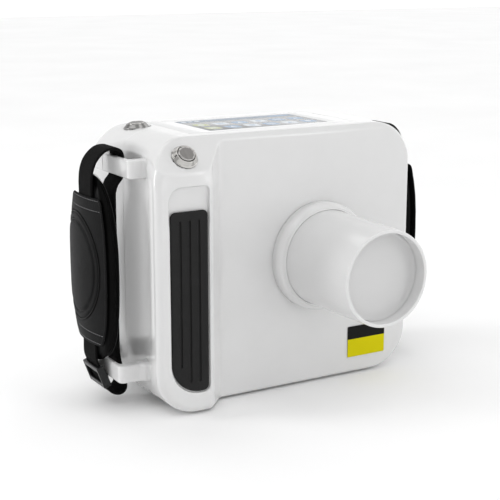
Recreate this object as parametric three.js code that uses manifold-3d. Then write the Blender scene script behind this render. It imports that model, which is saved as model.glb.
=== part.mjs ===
// Hand-held intraoral X-ray unit: a two-shell housing with a beam cone on the
// front, a grip column with the exposure button, a touch display on top and a
// padded hand strap on each side. Millimetres, +Z up, cone pointing to -Y.
//
// The shapes are drawn in a working frame: y = 0 is the plane of the front
// panel, z = 0 is the underside of the housing, x = 0 is its middle plane.
// The group at the end moves that frame so that z = 0 is the surface that the
// rubber feet stand on and x = y = 0 is the middle of the unit's footprint.
import * as THREE from 'three';
import { mergeVertices } from 'three/addons/utils/BufferGeometryUtils.js';
import Module from 'manifold-3d';

const wasm = await Module();
wasm.setup();

// ---------------------------------------------------------------- dimensions
const W = 212, H = 182, D = 90;      // housing width, height, panel to back
const R = 30;                        // corner radius of the front outline
const WALL = 3;                      // shell wall
const SPLIT = 50;                    // parting plane between the two shells
const FRONT_FILLET = 3, BACK_FILLET = 5;
const GAP = 0.3;                     // clearance between neighbouring pieces
const CHAMFER = 3.6;                 // 45 degree chamfer of the top front edge

const COL_PROUD = 17.3;              // grip column stands this far off the panel
const COL_FLAT_END = -67, COL_RAMP_END = -49.5;
const COL_FILLET = 5, COL_WALL = 5.4;

const SCOOP_DEPTH = 9;               // hand hollow in each side
const SCOOP_L = { y: 36.5, half: 45.5 }, SCOOP_R = { y: 45, half: 41 };

const CONE_X = 28.5, CONE_Z = 92, CONE_LEN = 80;
const CONE_TIP_R = 32.5, CONE_BASE_R = 33.8, CONE_BORE_R = 30;
const CONE_RECESS = 10;              // window sits this far inside the rim
const RING_R = 38.5, RING_H = 11;

const PLATE = { x0: -64.5, x1: 66, y0: 12, y1: 80, t: 1.7 };
const SCREEN = { x0: -46.5, x1: 48.9, y0: 20.3, y1: 74.0 };

const EXPO = { x: -80.7, y: -8.1, z: H - CHAMFER - 8.1 };   // on the chamfer
const POWER = { angle: 4, y: 68, sink: 1.0 };              // on the shoulder
const BTN_FLANGE_R = 9, BTN_BARREL_R = 7.9, BTN_CAP_R = 5.7, BTN_TRAVEL = 2;

const PAD = { x0: -95.6, x1: -68.6, z0: 15, z1: 137, rBL: 21, rBR: 4, rT: 3.5 };
const POCKET_DEPTH = 2.4, POCKET_TOP = 153.2;

const STRAP_Y_L = 38, STRAP_Y_R = 49;   // middle of each strap
const WEB_W = 20, WEB_T = 1.8;
const FOOT_H = 1.5, FOOT_R = 7;

// ------------------------------------------------------------------- helpers
const solid = (geo) => {
  let g = geo.clone();
  for (const k of Object.keys(g.attributes)) if (k !== 'position') g.deleteAttribute(k);
  g = mergeVertices(g, 1e-4);
  return new wasm.Manifold(new wasm.Mesh({
    numProp: 3,
    vertProperties: new Float32Array(g.attributes.position.array),
    triVerts: new Uint32Array(g.index.array),
  }));
};
const geometry = (man) => {
  const m = man.getMesh();
  const g = new THREE.BufferGeometry();
  g.setAttribute('position', new THREE.BufferAttribute(new Float32Array(m.vertProperties), 3));
  g.setIndex(new THREE.BufferAttribute(new Uint32Array(m.triVerts), 1));
  g.computeVertexNormals();
  return g;
};
const shapeOf = (pts) => new THREE.Shape(pts.map(([a, b]) => new THREE.Vector2(a, b)));
const extrude = (pts, depth, o = {}) => new THREE.ExtrudeGeometry(shapeOf(pts), { depth, bevelEnabled: false, steps: 1, ...o });
// prism whose outline lies in X-Z, from y0 to y1
const prismXZ = (pts, y0, y1) => extrude(pts, y1 - y0).rotateX(Math.PI / 2).translate(0, y1, 0);
// prism whose outline lies in X-Y, from z0 to z1
const prismXY = (pts, z0, z1) => extrude(pts, z1 - z0).translate(0, 0, z0);
// prism whose outline lies in Y-Z, from x0 to x1
const YZX = new THREE.Matrix4().set(0, 0, 1, 0, 1, 0, 0, 0, 0, 1, 0, 0, 0, 0, 0, 1);
const prismYZ = (pts, x0, x1) => extrude(pts, x1 - x0).applyMatrix4(YZX).translate(x0, 0, 0);
const boxGeo = (x0, x1, y0, y1, z0, z1) => new THREE.BoxGeometry(x1 - x0, y1 - y0, z1 - z0)
  .translate((x0 + x1) / 2, (y0 + y1) / 2, (z0 + z1) / 2);
const cylY = (x, z, r, y0, y1, n = 24) => new THREE.CylinderGeometry(r, r, y1 - y0, n).translate(x, (y0 + y1) / 2, z);
const arc = (cx, cy, r, a0, a1, n) => Array.from({ length: n + 1 }, (_, i) => {
  const a = (a0 + (a1 - a0) * i / n) * Math.PI / 180;
  return [cx + r * Math.cos(a), cy + r * Math.sin(a)];
});
// rounded rectangle, anticlockwise, one radius per corner (BL, BR, TR, TL)
const roundRect = (x0, x1, z0, z1, r, n = 6) => {
  const [bl, br, tr, tl] = Array.isArray(r) ? r : [r, r, r, r];
  return [...arc(x0 + bl, z0 + bl, bl, 180, 270, n), ...arc(x1 - br, z0 + br, br, 270, 360, n),
    ...arc(x1 - tr, z1 - tr, tr, 0, 90, n), ...arc(x0 + tl, z1 - tl, tl, 90, 180, n)];
};
const placed = (geo, origin, normal, up = [0, 0, 1]) => {
  // local +Z goes to the normal, at the origin
  const q = new THREE.Quaternion().setFromUnitVectors(new THREE.Vector3(0, 0, 1), new THREE.Vector3(...normal).normalize());
  return geo.applyQuaternion(q).translate(...origin);
};
const lathe = (prof, n = 24) => {
  // profile of [radius, height] turned about local +Z
  // an outline that runs clockwise is reversed, so that its faces point out
  const turn = prof.reduce((s, [r, z], i) => { const [r2, z2] = prof[(i + 1) % prof.length]; return s + r * z2 - r2 * z; }, 0);
  const pts = (turn < 0 ? prof.slice().reverse() : prof).map(([r, z]) => new THREE.Vector2(r, z));
  return new THREE.LatheGeometry(pts, n).rotateX(Math.PI / 2);
};
const closed = (prof) => [...prof, prof[0]];

// the outside of the whole housing, moved inwards by t (outwards if t < 0)
function housing(t) {
  const prof = (b) => roundRect(-W / 2 + t + b, W / 2 - t - b, t + b, H - t - b, R - t - b, 9);
  const slab = (y0, y1, b, seg) => {
    const g = new THREE.ExtrudeGeometry(shapeOf(prof(0)), {
      depth: y1 - y0 - 2 * b, steps: 1, bevelEnabled: true, bevelThickness: b, bevelSize: b, bevelOffset: -b, bevelSegments: seg,
    });
    return solid(g.rotateX(Math.PI / 2).translate(0, y1 - b, 0));
  };
  const f = Math.max(FRONT_FILLET - t, 0.6), k = Math.max(BACK_FILLET - t, 0.6);
  const front = slab(t, 64, f, 3), rear = slab(36, D - t, k, 3);
  const tc = t > 0 ? COL_WALL : t;
  const colA = slab(-COL_PROUD + tc, 24, Math.max(COL_FILLET - t, 0.8), 3);
  const x1 = COL_FLAT_END - t, x2 = COL_RAMP_END - t, yf = -COL_PROUD + tc;
  const plan = [[-W / 2 - 2, 12], [-W / 2 - 2, yf - 2], [x1 - 3, yf - 2], [x1 - 3, yf],
    [x1 - 1, yf + 0.2], [x1 + 1, yf + 0.9], [x1 + 3, yf + 2.2], [x2 - 5, t + 4.9 - 5.6], [x2 - 3, t - 0.9 + 0.3],
    [x2 - 1, t - 0.15], [x2 + 2, t + 0.02], [x2 + 2, 12]];
  plan[7] = [x2 - 5.2, t - 2.6];
  const colB = solid(prismXY(plan, -5, H + 5));
  const c = H - CHAMFER - t * Math.SQRT2;               // keep z - y <= c
  const keep = solid(prismYZ([[-60, -20], [D + 20, -20], [D + 20, H + 20], [H + 20 - c, H + 20], [-60, c - 60]], -W, W));
  const scoop = (s, side) => {
    const rs = (s.half ** 2 + SCOOP_DEPTH ** 2) / (2 * SCOOP_DEPTH);
    const cx = -W / 2 + SCOOP_DEPTH - rs;
    const a = Math.asin(Math.min(0.95, (s.half + 12) / rs)) * 180 / Math.PI;
    const pts = arc(cx, s.y, rs + t, -a, a, 20).map(([x, y]) => [side * x, y]);
    const far = side * (-W / 2 - 60);
    pts.push([far, s.y + s.half + 12], [far, s.y - s.half - 12]);
    if (side < 0) pts.reverse();
    return solid(prismXY(pts, -20, H + 20));
  };
  return front.add(rear).add(colA.intersect(colB)).intersect(keep)
    .subtract(scoop(SCOOP_L, 1)).subtract(scoop(SCOOP_R, -1));
}

const OUTER = housing(0), CAVITY = housing(WALL), CLEAR = housing(-GAP);
const frontHalf = solid(boxGeo(-300, 300, -200, SPLIT - GAP / 2, -100, 400));
const rearHalf = solid(boxGeo(-300, 300, SPLIT + GAP / 2, 300, -100, 400));

const nEXPO = [0, -Math.SQRT1_2, Math.SQRT1_2];
const expoAt = [EXPO.x, EXPO.y, EXPO.z];
const pa = POWER.angle * Math.PI / 180;
const nPOWER = [-Math.sin(pa), 0, Math.cos(pa)];
const powerAt = [-W / 2 + R - (R - POWER.sink) * Math.sin(pa), POWER.y, H - R + (R - POWER.sink) * Math.cos(pa)];

const BOSSES = [[-88, 32], [-88, 140], [88, 32], [88, 140]];

// --------------------------------------------------------------- front shell
const padOutline = (g, top) => roundRect(PAD.x0 - g, PAD.x1 + g, PAD.z0 - g, top ?? PAD.z1 + g,
  [PAD.rBL + g, PAD.rBR + g, top ? 4 : PAD.rT + g, top ? 9 : PAD.rT + g], 7);

let front = OUTER.subtract(CAVITY).intersect(frontHalf);
for (const [x, z] of BOSSES) front = front.add(solid(cylY(x, z, 7, 22, SPLIT - GAP / 2)).intersect(OUTER));
for (const [x, z] of BOSSES) front = front.subtract(solid(cylY(x, z, 2.1, 34, 60, 16)));
front = front.subtract(solid(cylY(CONE_X, CONE_Z, CONE_BASE_R + GAP + 0.4, -6, 6, 40)));
front = front.subtract(solid(placed(lathe([[0, -12], [BTN_BARREL_R + GAP, -12], [BTN_BARREL_R + GAP, 12], [0, 12]]), expoAt, nEXPO)));
// pocket for the grip pad, with a scooped finger rest above it
front = front.subtract(solid(prismXZ(padOutline(0.9), -COL_PROUD - 5, -COL_PROUD + POCKET_DEPTH)));
{
  const y = -COL_PROUD, z0 = PAD.z1 - 4, z1 = POCKET_TOP;
  const prof = [[y - 5, z0], [y + 3.0, z0], [y + 3.0, z0 + 4], [y + 2.9, z0 + 8], [y + 2.5, z0 + 12], [y + 1.7, z1 - 5], [y + 0.9, z1 - 2], [y, z1], [y - 5, z1]];
  const rest = solid(prismYZ(prof, -110, -50)).intersect(solid(prismXZ(padOutline(1.2, POCKET_TOP), -COL_PROUD - 6, 0)));
  front = front.subtract(rest);
}
// recess and opening under the display plate
const plateCut = solid(boxGeo(PLATE.x0 - GAP, PLATE.x1 + GAP, PLATE.y0 - GAP, PLATE.y1 + GAP, H - PLATE.t - GAP, H + 5))
  .add(solid(boxGeo(PLATE.x0 + 3, PLATE.x1 - 3, PLATE.y0 + 3, PLATE.y1 - 3, H - 12, H + 5)));
front = front.subtract(plateCut);

// ---------------------------------------------------------------- rear shell
let rear = OUTER.subtract(CAVITY).intersect(rearHalf);
for (const [x, z] of BOSSES) rear = rear.add(solid(cylY(x, z, 7, SPLIT + GAP / 2, D - 1)).intersect(OUTER));
for (const [x, z] of BOSSES) {
  rear = rear.subtract(solid(cylY(x, z, 4.2, 62, D + 5, 20))).subtract(solid(cylY(x, z, 2.2, 40, 64, 16)));
}
rear = rear.subtract(plateCut);
rear = rear.subtract(solid(placed(lathe([[0, -12], [BTN_BARREL_R + GAP, -12], [BTN_BARREL_R + GAP, -GAP], [BTN_FLANGE_R + 0.7, -GAP], [BTN_FLANGE_R + 0.7, 8], [0, 8]]), powerAt, nPOWER)));
const SOCKET = { x: -58, z: 24 };
rear = rear.subtract(solid(cylY(SOCKET.x, SOCKET.z, 5.8, D - 12, D + 4, 20))).subtract(solid(cylY(SOCKET.x, SOCKET.z, 7.2, D - 1.4, D + 4, 24)));

// ------------------------------------------------------------ round buttons
const bezelProfile = closed([
  [6.0, -10.4], [6.0, 3.6], [6.6, 3.9], [7.0, 3.6], [8.7, 0.85], [BTN_FLANGE_R, 0.45], [BTN_FLANGE_R, 0],
  [BTN_BARREL_R, 0], [BTN_BARREL_R, -18], [3.6, -18], [3.6, -10.4]]);
const capProfile = [[0, -16], [3.2, -16], [3.2, -8], [BTN_CAP_R, -8], [BTN_CAP_R, 4.35], [5.3, 4.7], [4.9, 4.7], [4.75, 4.45], [0, 4.45]];
const nut = (z, at, n) => solid(placed(lathe([[0, z - 2.8], [10.6, z - 2.8], [10.6, z], [0, z]], 6), at, n))
  .subtract(solid(placed(lathe([[0, z - 4], [8.25, z - 4], [8.25, z + 1], [0, z + 1]]), at, n)));

// --------------------------------------------------------------------- cone
const coneAxisAt = (y) => [CONE_X, y, CONE_Z];
const coneN = [0, -1, 0];                                   // local height runs out of the panel
const coneRing = closed([[CONE_BASE_R + GAP + 0.2, GAP], [RING_R, GAP], [RING_R, 4], [38.1, 6.2], [37.2, 7.6], [35.4, 9.4], [34.9, RING_H], [CONE_BASE_R + GAP + 0.2, RING_H]]);
const coneTube = closed([[CONE_BORE_R, -6], [CONE_BASE_R, -6], [CONE_BASE_R, 6], [CONE_TIP_R, CONE_LEN - 0.6], [CONE_TIP_R - 0.6, CONE_LEN],
  [CONE_BORE_R + 0.4, CONE_LEN], [CONE_BORE_R, CONE_LEN - 0.5]]);
const liner = closed([[27.6, -4], [CONE_BORE_R - GAP, -4], [CONE_BORE_R - GAP, CONE_LEN - CONE_RECESS - 2.6], [27.6, CONE_LEN - CONE_RECESS - 2.6]]);
const windowDisc = [[0, CONE_LEN - CONE_RECESS - 2.2], [CONE_BORE_R - GAP, CONE_LEN - CONE_RECESS - 2.2], [CONE_BORE_R - GAP, CONE_LEN - CONE_RECESS], [0, CONE_LEN - CONE_RECESS]];
const collimator = closed([[9, -9.6], [33, -9.6], [33, -6.6], [9, -6.6]]);
const filterDisc = [[0, -11.4], [14, -11.4], [14, -9.9], [0, -9.9]];

// ------------------------------------------------------- tube head, inside
const TANK = { x0: -10.5, x1: 67.5, y0: 12, y1: 74, z0: 42, z1: 142, w: 3 };
let tank = solid(boxGeo(TANK.x0, TANK.x1, TANK.y0, TANK.y1, TANK.z0, TANK.z1))
  .subtract(solid(boxGeo(TANK.x0 + TANK.w, TANK.x1 - TANK.w, TANK.y0 + TANK.w, TANK.y1 + 5, TANK.z0 + TANK.w, TANK.z1 - TANK.w)))
  .subtract(solid(cylY(CONE_X, CONE_Z, 11, TANK.y0 - 4, TANK.y0 + 8, 24)));
const tubeAxis = [1, 0, 0];
const tubeAt = [CONE_X, 34, CONE_Z];
const envelope = closed([[6.5, -31], [8, -31], [8, -18], [13, -12], [13, 12], [8, 18], [8, 31], [6.5, 31], [6.5, 18.6], [11.5, 11.6], [11.5, -11.6], [6.5, -18.6]]);
const anode = [[0, -36], [6.1, -36], [6.1, -2], [0, 3]];
const cathode = [[0, 9], [5, 9], [6.1, 12], [6.1, 36], [0, 36]];

// -------------------------------------------------------------- strap lugs
// side = 1 is the -X side; the same shapes are mirrored for the +X side
const mirrorX = (man, side) => side > 0 ? man : man.mirror([1, 0, 0]);
function lug(side, yc, outerX, z0, z1, tab) {
  const hy = 29.3, bar = 3.6;
  let m = solid(prismXY([[outerX, yc - hy + 0.8], [outerX + 0.8, yc - hy], [-93, yc - hy], [-93, yc - hy + 7.2], [outerX + bar, yc - hy + 7.2],
    [outerX + bar, yc + hy - 7.2], [-93, yc + hy - 7.2], [-93, yc + hy], [outerX + 0.8, yc + hy], [outerX, yc + hy - 0.8]], z0, z1));
  if (tab) {
    m = m.add(solid(boxGeo(-107.6, -93, yc - hy - 4.5, yc - hy + 10.5, z0 - 1, z1 + 1)))
      .add(solid(boxGeo(-107.6, -93, yc + hy - 10.5, yc + hy + 4.5, z0 - 1, z1 + 1)));
  }
  // witness groove of the parting plane
  m = m.subtract(solid(boxGeo(outerX - 1, outerX + 0.5, SPLIT - 0.3, SPLIT + 0.3, z0 - 1, z1 + 1)));
  return mirrorX(m, side).subtract(CLEAR);
}

// ------------------------------------------------------------------- straps
// centre line of the webbing loop in the X-Z plane, -X side: up behind the cuff, over
// the top lug, down outside the cuff, through the buckle and round the lower lug
const WEB_PATH = [[-113.5, 141], [-113.0, 146], [-111.4, 150.2], [-108.9, 153.2], [-107.2, 156.4], [-106.8, 161.5], [-106.8, 167.4], [-107.6, 170.8], [-109.4, 172.8],
  [-112.8, 173.9], [-118.0, 173.3], [-122.6, 170.4], [-126.6, 165.6], [-129, 159.2], [-129.8, 152], [-129.8, 144], [-129.8, 95], [-129.8, 44],
  [-129.9, 36], [-129.4, 32.2], [-122.2, 12.9], [-120.2, 9.4], [-117, 7], [-113, 6.2], [-109.8, 7.8], [-108.6, 11.4], [-109.2, 16.6],
  [-110.8, 23], [-112.4, 29], [-113.4, 36], [-113.5, 44]];
function offsetLoop(path, s) {
  const n = path.length;
  return path.map((p, i) => {
    const a = path[(i + n - 1) % n], b = path[(i + 1) % n];
    const dx = b[0] - a[0], dz = b[1] - a[1], l = Math.hypot(dx, dz);
    return [p[0] - dz / l * s, p[1] + dx / l * s];
  });
}
const ccw = (pts) => THREE.ShapeUtils.area(pts.map(([a, b]) => new THREE.Vector2(a, b))) < 0 ? pts.slice().reverse() : pts;
const webbing = (side, yc) => {
  const outer = solid(prismXZ(ccw(offsetLoop(WEB_PATH, -WEB_T / 2)), yc - WEB_W / 2, yc + WEB_W / 2));
  const inner = solid(prismXZ(ccw(offsetLoop(WEB_PATH, WEB_T / 2)), yc - WEB_W / 2 - 1, yc + WEB_W / 2 + 1));
  return mirrorX(outer.subtract(inner), side);
};
// outlines in Y-Z: half widths at heights, mirrored about the middle of the strap
const outlineYZ = (yc, rows) => [...rows.map(([h, z]) => [yc + h, z]), ...rows.slice().reverse().map(([h, z]) => [yc - h, z])];
const CUFF = [[5, 32.3], [9, 33], [13, 34.6], [16.4, 36.8], [19.4, 40.4], [22, 45], [23.8, 50], [25.4, 57], [26.6, 66], [27.4, 80], [27.6, 95], [27.3, 110],
  [25.7, 123], [23.6, 131], [20.8, 138], [17.4, 144], [13.9, 149], [10.4, 153.3], [6.8, 156.3], [3.4, 157.8]];
const COVER = [[17.5, 44], [19.4, 45.2], [22.6, 50], [25.2, 57], [27.2, 66], [28.3, 78], [28.7, 94], [28.3, 110], [27.2, 121.5], [25.2, 131], [23.2, 138], [21.8, 142.6], [20.6, 143.5]];
const pad = (side, yc) => mirrorX(solid(prismYZ(outlineYZ(yc, CUFF), -127.9, -118.6)), side);
const flap = (side, yc) => mirrorX(solid(prismYZ(outlineYZ(yc, COVER), -134.8, -131.1)), side);
// slide buckle: two outer bars, one inner bar behind the webbing, two rails
const BK_A = [-129.4, 32.2], BK_B = [-122.2, 12.9];
function buckle(side, yc) {
  const dx = BK_A[0] - BK_B[0], dz = BK_A[1] - BK_B[1], l = Math.hypot(dx, dz);
  const u = [dx / l, dz / l], n = [-u[1], u[0]];                 // u up the webbing, n outwards
  const P = (s, h) => [BK_B[0] + u[0] * s + n[0] * h, BK_B[1] + u[1] * s + n[1] * h];
  const bar = (s0, s1, h0, h1, y0, y1) => {
    let pts = [P(s0, h0), P(s1, h0), P(s1, h1), P(s0, h1)];
    if (THREE.ShapeUtils.area(pts.map(([a, b]) => new THREE.Vector2(a, b))) < 0) pts = pts.reverse();
    return solid(prismXZ(pts, y0, y1));
  };
  const hw = WEB_W / 2, o0 = WEB_T / 2 + GAP, o1 = o0 + 1.9, i1 = -(WEB_T / 2 + GAP), i0 = i1 - 1.5;
  const s0 = 0.4, s1 = 16.4, ya = yc - hw - 2.2, yb = yc + hw + 2.2;
  let m = bar(s0, s0 + 3.6, o0, o1, ya, yb).add(bar(s1 - 3.6, s1, o0, o1, ya, yb)).add(bar(6.4, 10.4, i0, i1, ya, yb));
  m = m.add(bar(s0, s1, i0 + 0.3, o1, ya, yc - hw - GAP)).add(bar(s0, s1, i0 + 0.3, o1, yc + hw + GAP, yb));
  return mirrorX(m, side);
}

// --------------------------------------------------------------- the scene
const group = new THREE.Group();
group.position.set(0, -(D - CONE_LEN) / 2, FOOT_H);
const WHITE = [0xe9eaeb, 0.22, 0], STEEL = [0xb9b7b3, 0.28, 1];
function part(name, shape, [color, roughness, metalness]) {
  const mesh = new THREE.Mesh(shape.getMesh ? geometry(shape) : shape, new THREE.MeshStandardMaterial({ color, roughness, metalness }));
  mesh.name = name;
  group.add(mesh);
}

part('front_shell', front, WHITE);
part('rear_shell', rear, WHITE);

// display plate, glass and module
part('display_bezel', solid(boxGeo(PLATE.x0, PLATE.x1, PLATE.y0, PLATE.y1, H - PLATE.t, H))
  .subtract(solid(boxGeo(SCREEN.x0, SCREEN.x1, SCREEN.y0, SCREEN.y1, H - 5, H + 5))), [0xe6e7e8, 0.25, 0]);
part('display_glass', boxGeo(SCREEN.x0 + GAP, SCREEN.x1 - GAP, SCREEN.y0 + GAP, SCREEN.y1 - GAP, H - 2.9, H - 0.1), [0x4a5460, 0.08, 0]);
part('display_module', boxGeo(-49, 51.4, 18.8, 75.5, H - 9, H - 3.2), [0x2a2d30, 0.5, 0.2]);

// exposure button on the chamfer, power button on the shoulder
part('exposure_bezel', placed(lathe(bezelProfile), [expoAt[0], expoAt[1] + nEXPO[1] * GAP, expoAt[2] + nEXPO[2] * GAP], nEXPO), STEEL);
part('exposure_cap', placed(lathe(capProfile), [expoAt[0], expoAt[1] + nEXPO[1] * GAP, expoAt[2] + nEXPO[2] * GAP], nEXPO), [0x8f8b86, 0.35, 1]);
part('exposure_nut', nut(-5.8, expoAt, nEXPO), STEEL);
part('power_bezel', placed(lathe(bezelProfile), powerAt, nPOWER), STEEL);
part('power_cap', placed(lathe(capProfile), powerAt, nPOWER), [0x8f8b86, 0.35, 1]);
part('power_nut', nut(-5.6, powerAt, nPOWER), STEEL);

// ribbed rubber pad of the grip column
{
  const yf = -COL_PROUD + 0.7, yb = -COL_PROUD + POCKET_DEPTH - GAP;
  let m = solid(prismXZ(padOutline(0), yf, yb));
  for (const x of [-88.9, -82.1, -75.3]) m = m.subtract(solid(prismXZ(roundRect(x - 0.8, x + 0.8, x < -85 ? 33 : 22, 131, 0.79, 3), yf - 3, yf + 0.8)));
  part('grip_pad', m, [0x272728, 0.75, 0]);
}

// beam cone
part('cone_ring', placed(lathe(coneRing, 40), coneAxisAt(0), coneN), WHITE);
part('cone_tube', placed(lathe(coneTube, 40), coneAxisAt(0), coneN), WHITE);
part('cone_window', placed(lathe(windowDisc, 28), coneAxisAt(0), coneN), [0xcfd0d1, 0.4, 0]);
part('cone_liner', placed(lathe(liner, 24), coneAxisAt(0), coneN), [0x74777a, 0.6, 1]);
part('collimator', placed(lathe(collimator, 24), coneAxisAt(0), coneN), [0x6b6e71, 0.6, 1]);
part('beam_filter', placed(lathe(filterDisc, 20), coneAxisAt(0), coneN), [0xb9bcbe, 0.35, 1]);

// tube head
part('tube_tank', tank, [0x9a9da0, 0.45, 1]);
part('tank_cover', boxGeo(TANK.x0, TANK.x1, TANK.y1 + GAP, TANK.y1 + GAP + 3, TANK.z0, TANK.z1), [0x9a9da0, 0.45, 1]);
part('xray_tube', placed(lathe(envelope, 20), tubeAt, tubeAxis), [0xc7d6dc, 0.05, 0]);
part('tube_anode', placed(lathe(anode, 20), tubeAt, tubeAxis), [0xb06a3c, 0.4, 1]);
part('tube_cathode', placed(lathe(cathode, 20), tubeAt, tubeAxis), [0x9fa1a3, 0.4, 1]);
part('hv_transformer', boxGeo(2, 34, 28, 60, 48, 72), [0x8a4b2a, 0.6, 0.2]);
part('hv_multiplier', boxGeo(0, 57, 24, 60, 116, 128), [0x2d5a3a, 0.6, 0]);

// electronics and power
part('main_board', boxGeo(-62, 62, 20, 78, 160, 161.6), [0x1f5c3a, 0.55, 0]);
part('sounder', new THREE.CylinderGeometry(6, 6, 7, 24).rotateX(Math.PI / 2).translate(-40, 34, 156.2), [0x1c1c1d, 0.6, 0]);
part('battery_pack', boxGeo(-78, -18, 28, 78, 12, 100), [0x2b4a78, 0.5, 0]);
part('charge_socket', placed(lathe(closed([[3.2, -9], [5.5, -9], [5.5, 0], [6.8, 0], [6.8, 1], [3.2, 1]]), 24), [SOCKET.x, D - 1.05, SOCKET.z], [0, 1, 0]), [0x1d1d1e, 0.5, 0]);

// blank plate of two fields in place of the printed label
part('rating_plate', boxGeo(54.3, 86.8, -0.75, -0.35, 12, 35), [0xd9d21c, 0.4, 0]);

// strap lugs
part('lug_top_left', lug(1, STRAP_Y_L, -112, 156, 168.6, false), WHITE);
part('lug_low_left', lug(1, STRAP_Y_L, -121.6, 19.8, 31.8, true), WHITE);
part('lug_top_right', lug(-1, STRAP_Y_R, -112, 156, 168.6, false), WHITE);
part('lug_low_right', lug(-1, STRAP_Y_R, -121.6, 19.8, 31.8, true), WHITE);

// hand straps
for (const [s, side, yc] of [['left', 1, STRAP_Y_L], ['right', -1, STRAP_Y_R]]) {
  part(`strap_webbing_${s}`, webbing(side, yc), [0x141415, 0.9, 0]);
  part(`strap_pad_${s}`, pad(side, yc), [0x1b1b1c, 0.85, 0]);
  part(`strap_flap_${s}`, flap(side, yc), [0x323334, 0.6, 0]);
  part(`strap_buckle_${s}`, buckle(side, yc), [0x101011, 0.45, 0]);
}

// feet and housing screws
let i = 0;
for (const [x, y] of [[-66, 14], [66, 14], [-66, 76], [66, 76]]) {
  i += 1;
  part(`foot_${i}`, lathe([[0, -FOOT_H], [FOOT_R - 0.5, -FOOT_H], [FOOT_R, -FOOT_H + 0.5], [FOOT_R, -GAP], [0, -GAP]], 24).translate(x, y, 0), [0x202021, 0.85, 0]);
}
i = 0;
for (const [x, z] of BOSSES) {
  i += 1;
  part(`shell_screw_${i}`, placed(lathe([[0, -24], [1.8, -24], [1.8, GAP], [3.7, GAP], [3.7, 2.2], [3.2, 2.6], [1.6, 2.6], [1.6, 1.2], [0, 1.2]], 14), [x, 62, z], [0, 1, 0]), [0x6f7274, 0.4, 1]);
}

export default group;
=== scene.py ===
import math
import bpy
import bmesh
import numpy as np
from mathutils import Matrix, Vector


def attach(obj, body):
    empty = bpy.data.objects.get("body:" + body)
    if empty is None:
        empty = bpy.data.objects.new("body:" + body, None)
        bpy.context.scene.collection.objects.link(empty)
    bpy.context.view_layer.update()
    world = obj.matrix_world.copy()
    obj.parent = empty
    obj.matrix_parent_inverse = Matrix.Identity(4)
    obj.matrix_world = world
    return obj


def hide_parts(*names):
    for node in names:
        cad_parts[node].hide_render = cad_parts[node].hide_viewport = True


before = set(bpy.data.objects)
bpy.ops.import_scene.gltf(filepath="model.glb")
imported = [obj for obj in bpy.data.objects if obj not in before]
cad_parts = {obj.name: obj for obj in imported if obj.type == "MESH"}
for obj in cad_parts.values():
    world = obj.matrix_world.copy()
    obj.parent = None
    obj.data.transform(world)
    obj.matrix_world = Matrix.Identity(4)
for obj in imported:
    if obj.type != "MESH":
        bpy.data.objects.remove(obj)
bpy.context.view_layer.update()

SHIFT = np.array([0.0, -5.0, 1.5])       # working frame (mm, front panel at y = 0) to the row frame
W, H, D, R = 212.0, 182.0, 90.0, 30.0
PROUD = 17.3
STRAP_L, STRAP_R = 38.0, 49.0            # middle of each strap in Y
rng = np.random.default_rng(7)


# ------------------------------------------------------------------ mesh tools
def to_frame(P):
    return (np.asarray(P, float) + SHIFT) * 0.001


def make(name, verts, faces, mat, body="housing", smooth=True, sharp=None, normals=None, in_frame=False):
    me = bpy.data.meshes.new(name)
    co = np.asarray(verts, float) if in_frame else to_frame(verts)
    me.from_pydata(co.tolist(), [], [tuple(int(i) for i in f) for f in faces])
    me.validate(clean_customdata=False)
    me.update()
    ob = bpy.data.objects.new(name, me)
    bpy.context.scene.collection.objects.link(ob)
    if mat is not None:
        for m in (mat if isinstance(mat, (list, tuple)) else [mat]):
            me.materials.append(m)
    if smooth:
        me.polygons.foreach_set("use_smooth", [True] * len(me.polygons))
    if sharp is not None:
        me.set_sharp_from_angle(angle=math.radians(sharp))
    if normals is not None and len(me.vertices) == len(normals):
        me.normals_split_custom_set_from_vertices(np.asarray(normals, float).tolist())
    if body:
        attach(ob, body)
    return ob


def rmax(a, b, r):
    return np.minimum(np.maximum(a, b), -r) + np.hypot(np.maximum(a + r, 0), np.maximum(b + r, 0))


def rmin(a, b, r):
    return np.maximum(np.minimum(a, b), r) - np.hypot(np.maximum(r - a, 0), np.maximum(r - b, 0))


def box2(u, v, u0, u1, v0, v1, r=0.0):
    qx = np.abs(u - (u0 + u1) / 2) - (u1 - u0) / 2 + r
    qy = np.abs(v - (v0 + v1) / 2) - (v1 - v0) / 2 + r
    return np.minimum(np.maximum(qx, qy), 0) + np.hypot(np.maximum(qx, 0), np.maximum(qy, 0)) - r


def box2r(u, v, u0, u1, v0, v1, rbl, rbr, rtr, rtl):
    d = box2(u, v, u0, u1, v0, v1, min(rbl, rbr, rtr, rtl))
    for r, su, sv, cu, cv in ((rbl, -1, -1, u0 + rbl, v0 + rbl), (rbr, 1, -1, u1 - rbr, v0 + rbr), (rtr, 1, 1, u1 - rtr, v1 - rtr), (rtl, -1, 1, u0 + rtl, v1 - rtl)):
        inside = ((u - cu) * su > 0) & ((v - cv) * sv > 0)
        d = np.where(inside, np.maximum(d, np.hypot(u - cu, v - cv) - r), d)
    return d


def axis_points(lo, hi, base, bands):
    """grid coordinates from lo to hi, with finer spacing inside each band (centre, half width, spacing)"""
    out, p = [lo], lo
    while p < hi:
        s = base
        for c, w, f in bands:
            d = max(abs(p - c) - w, 0.0)
            s = min(s, f + d * 0.45)
        p += s
        out.append(p)
    return np.array(out)


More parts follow.
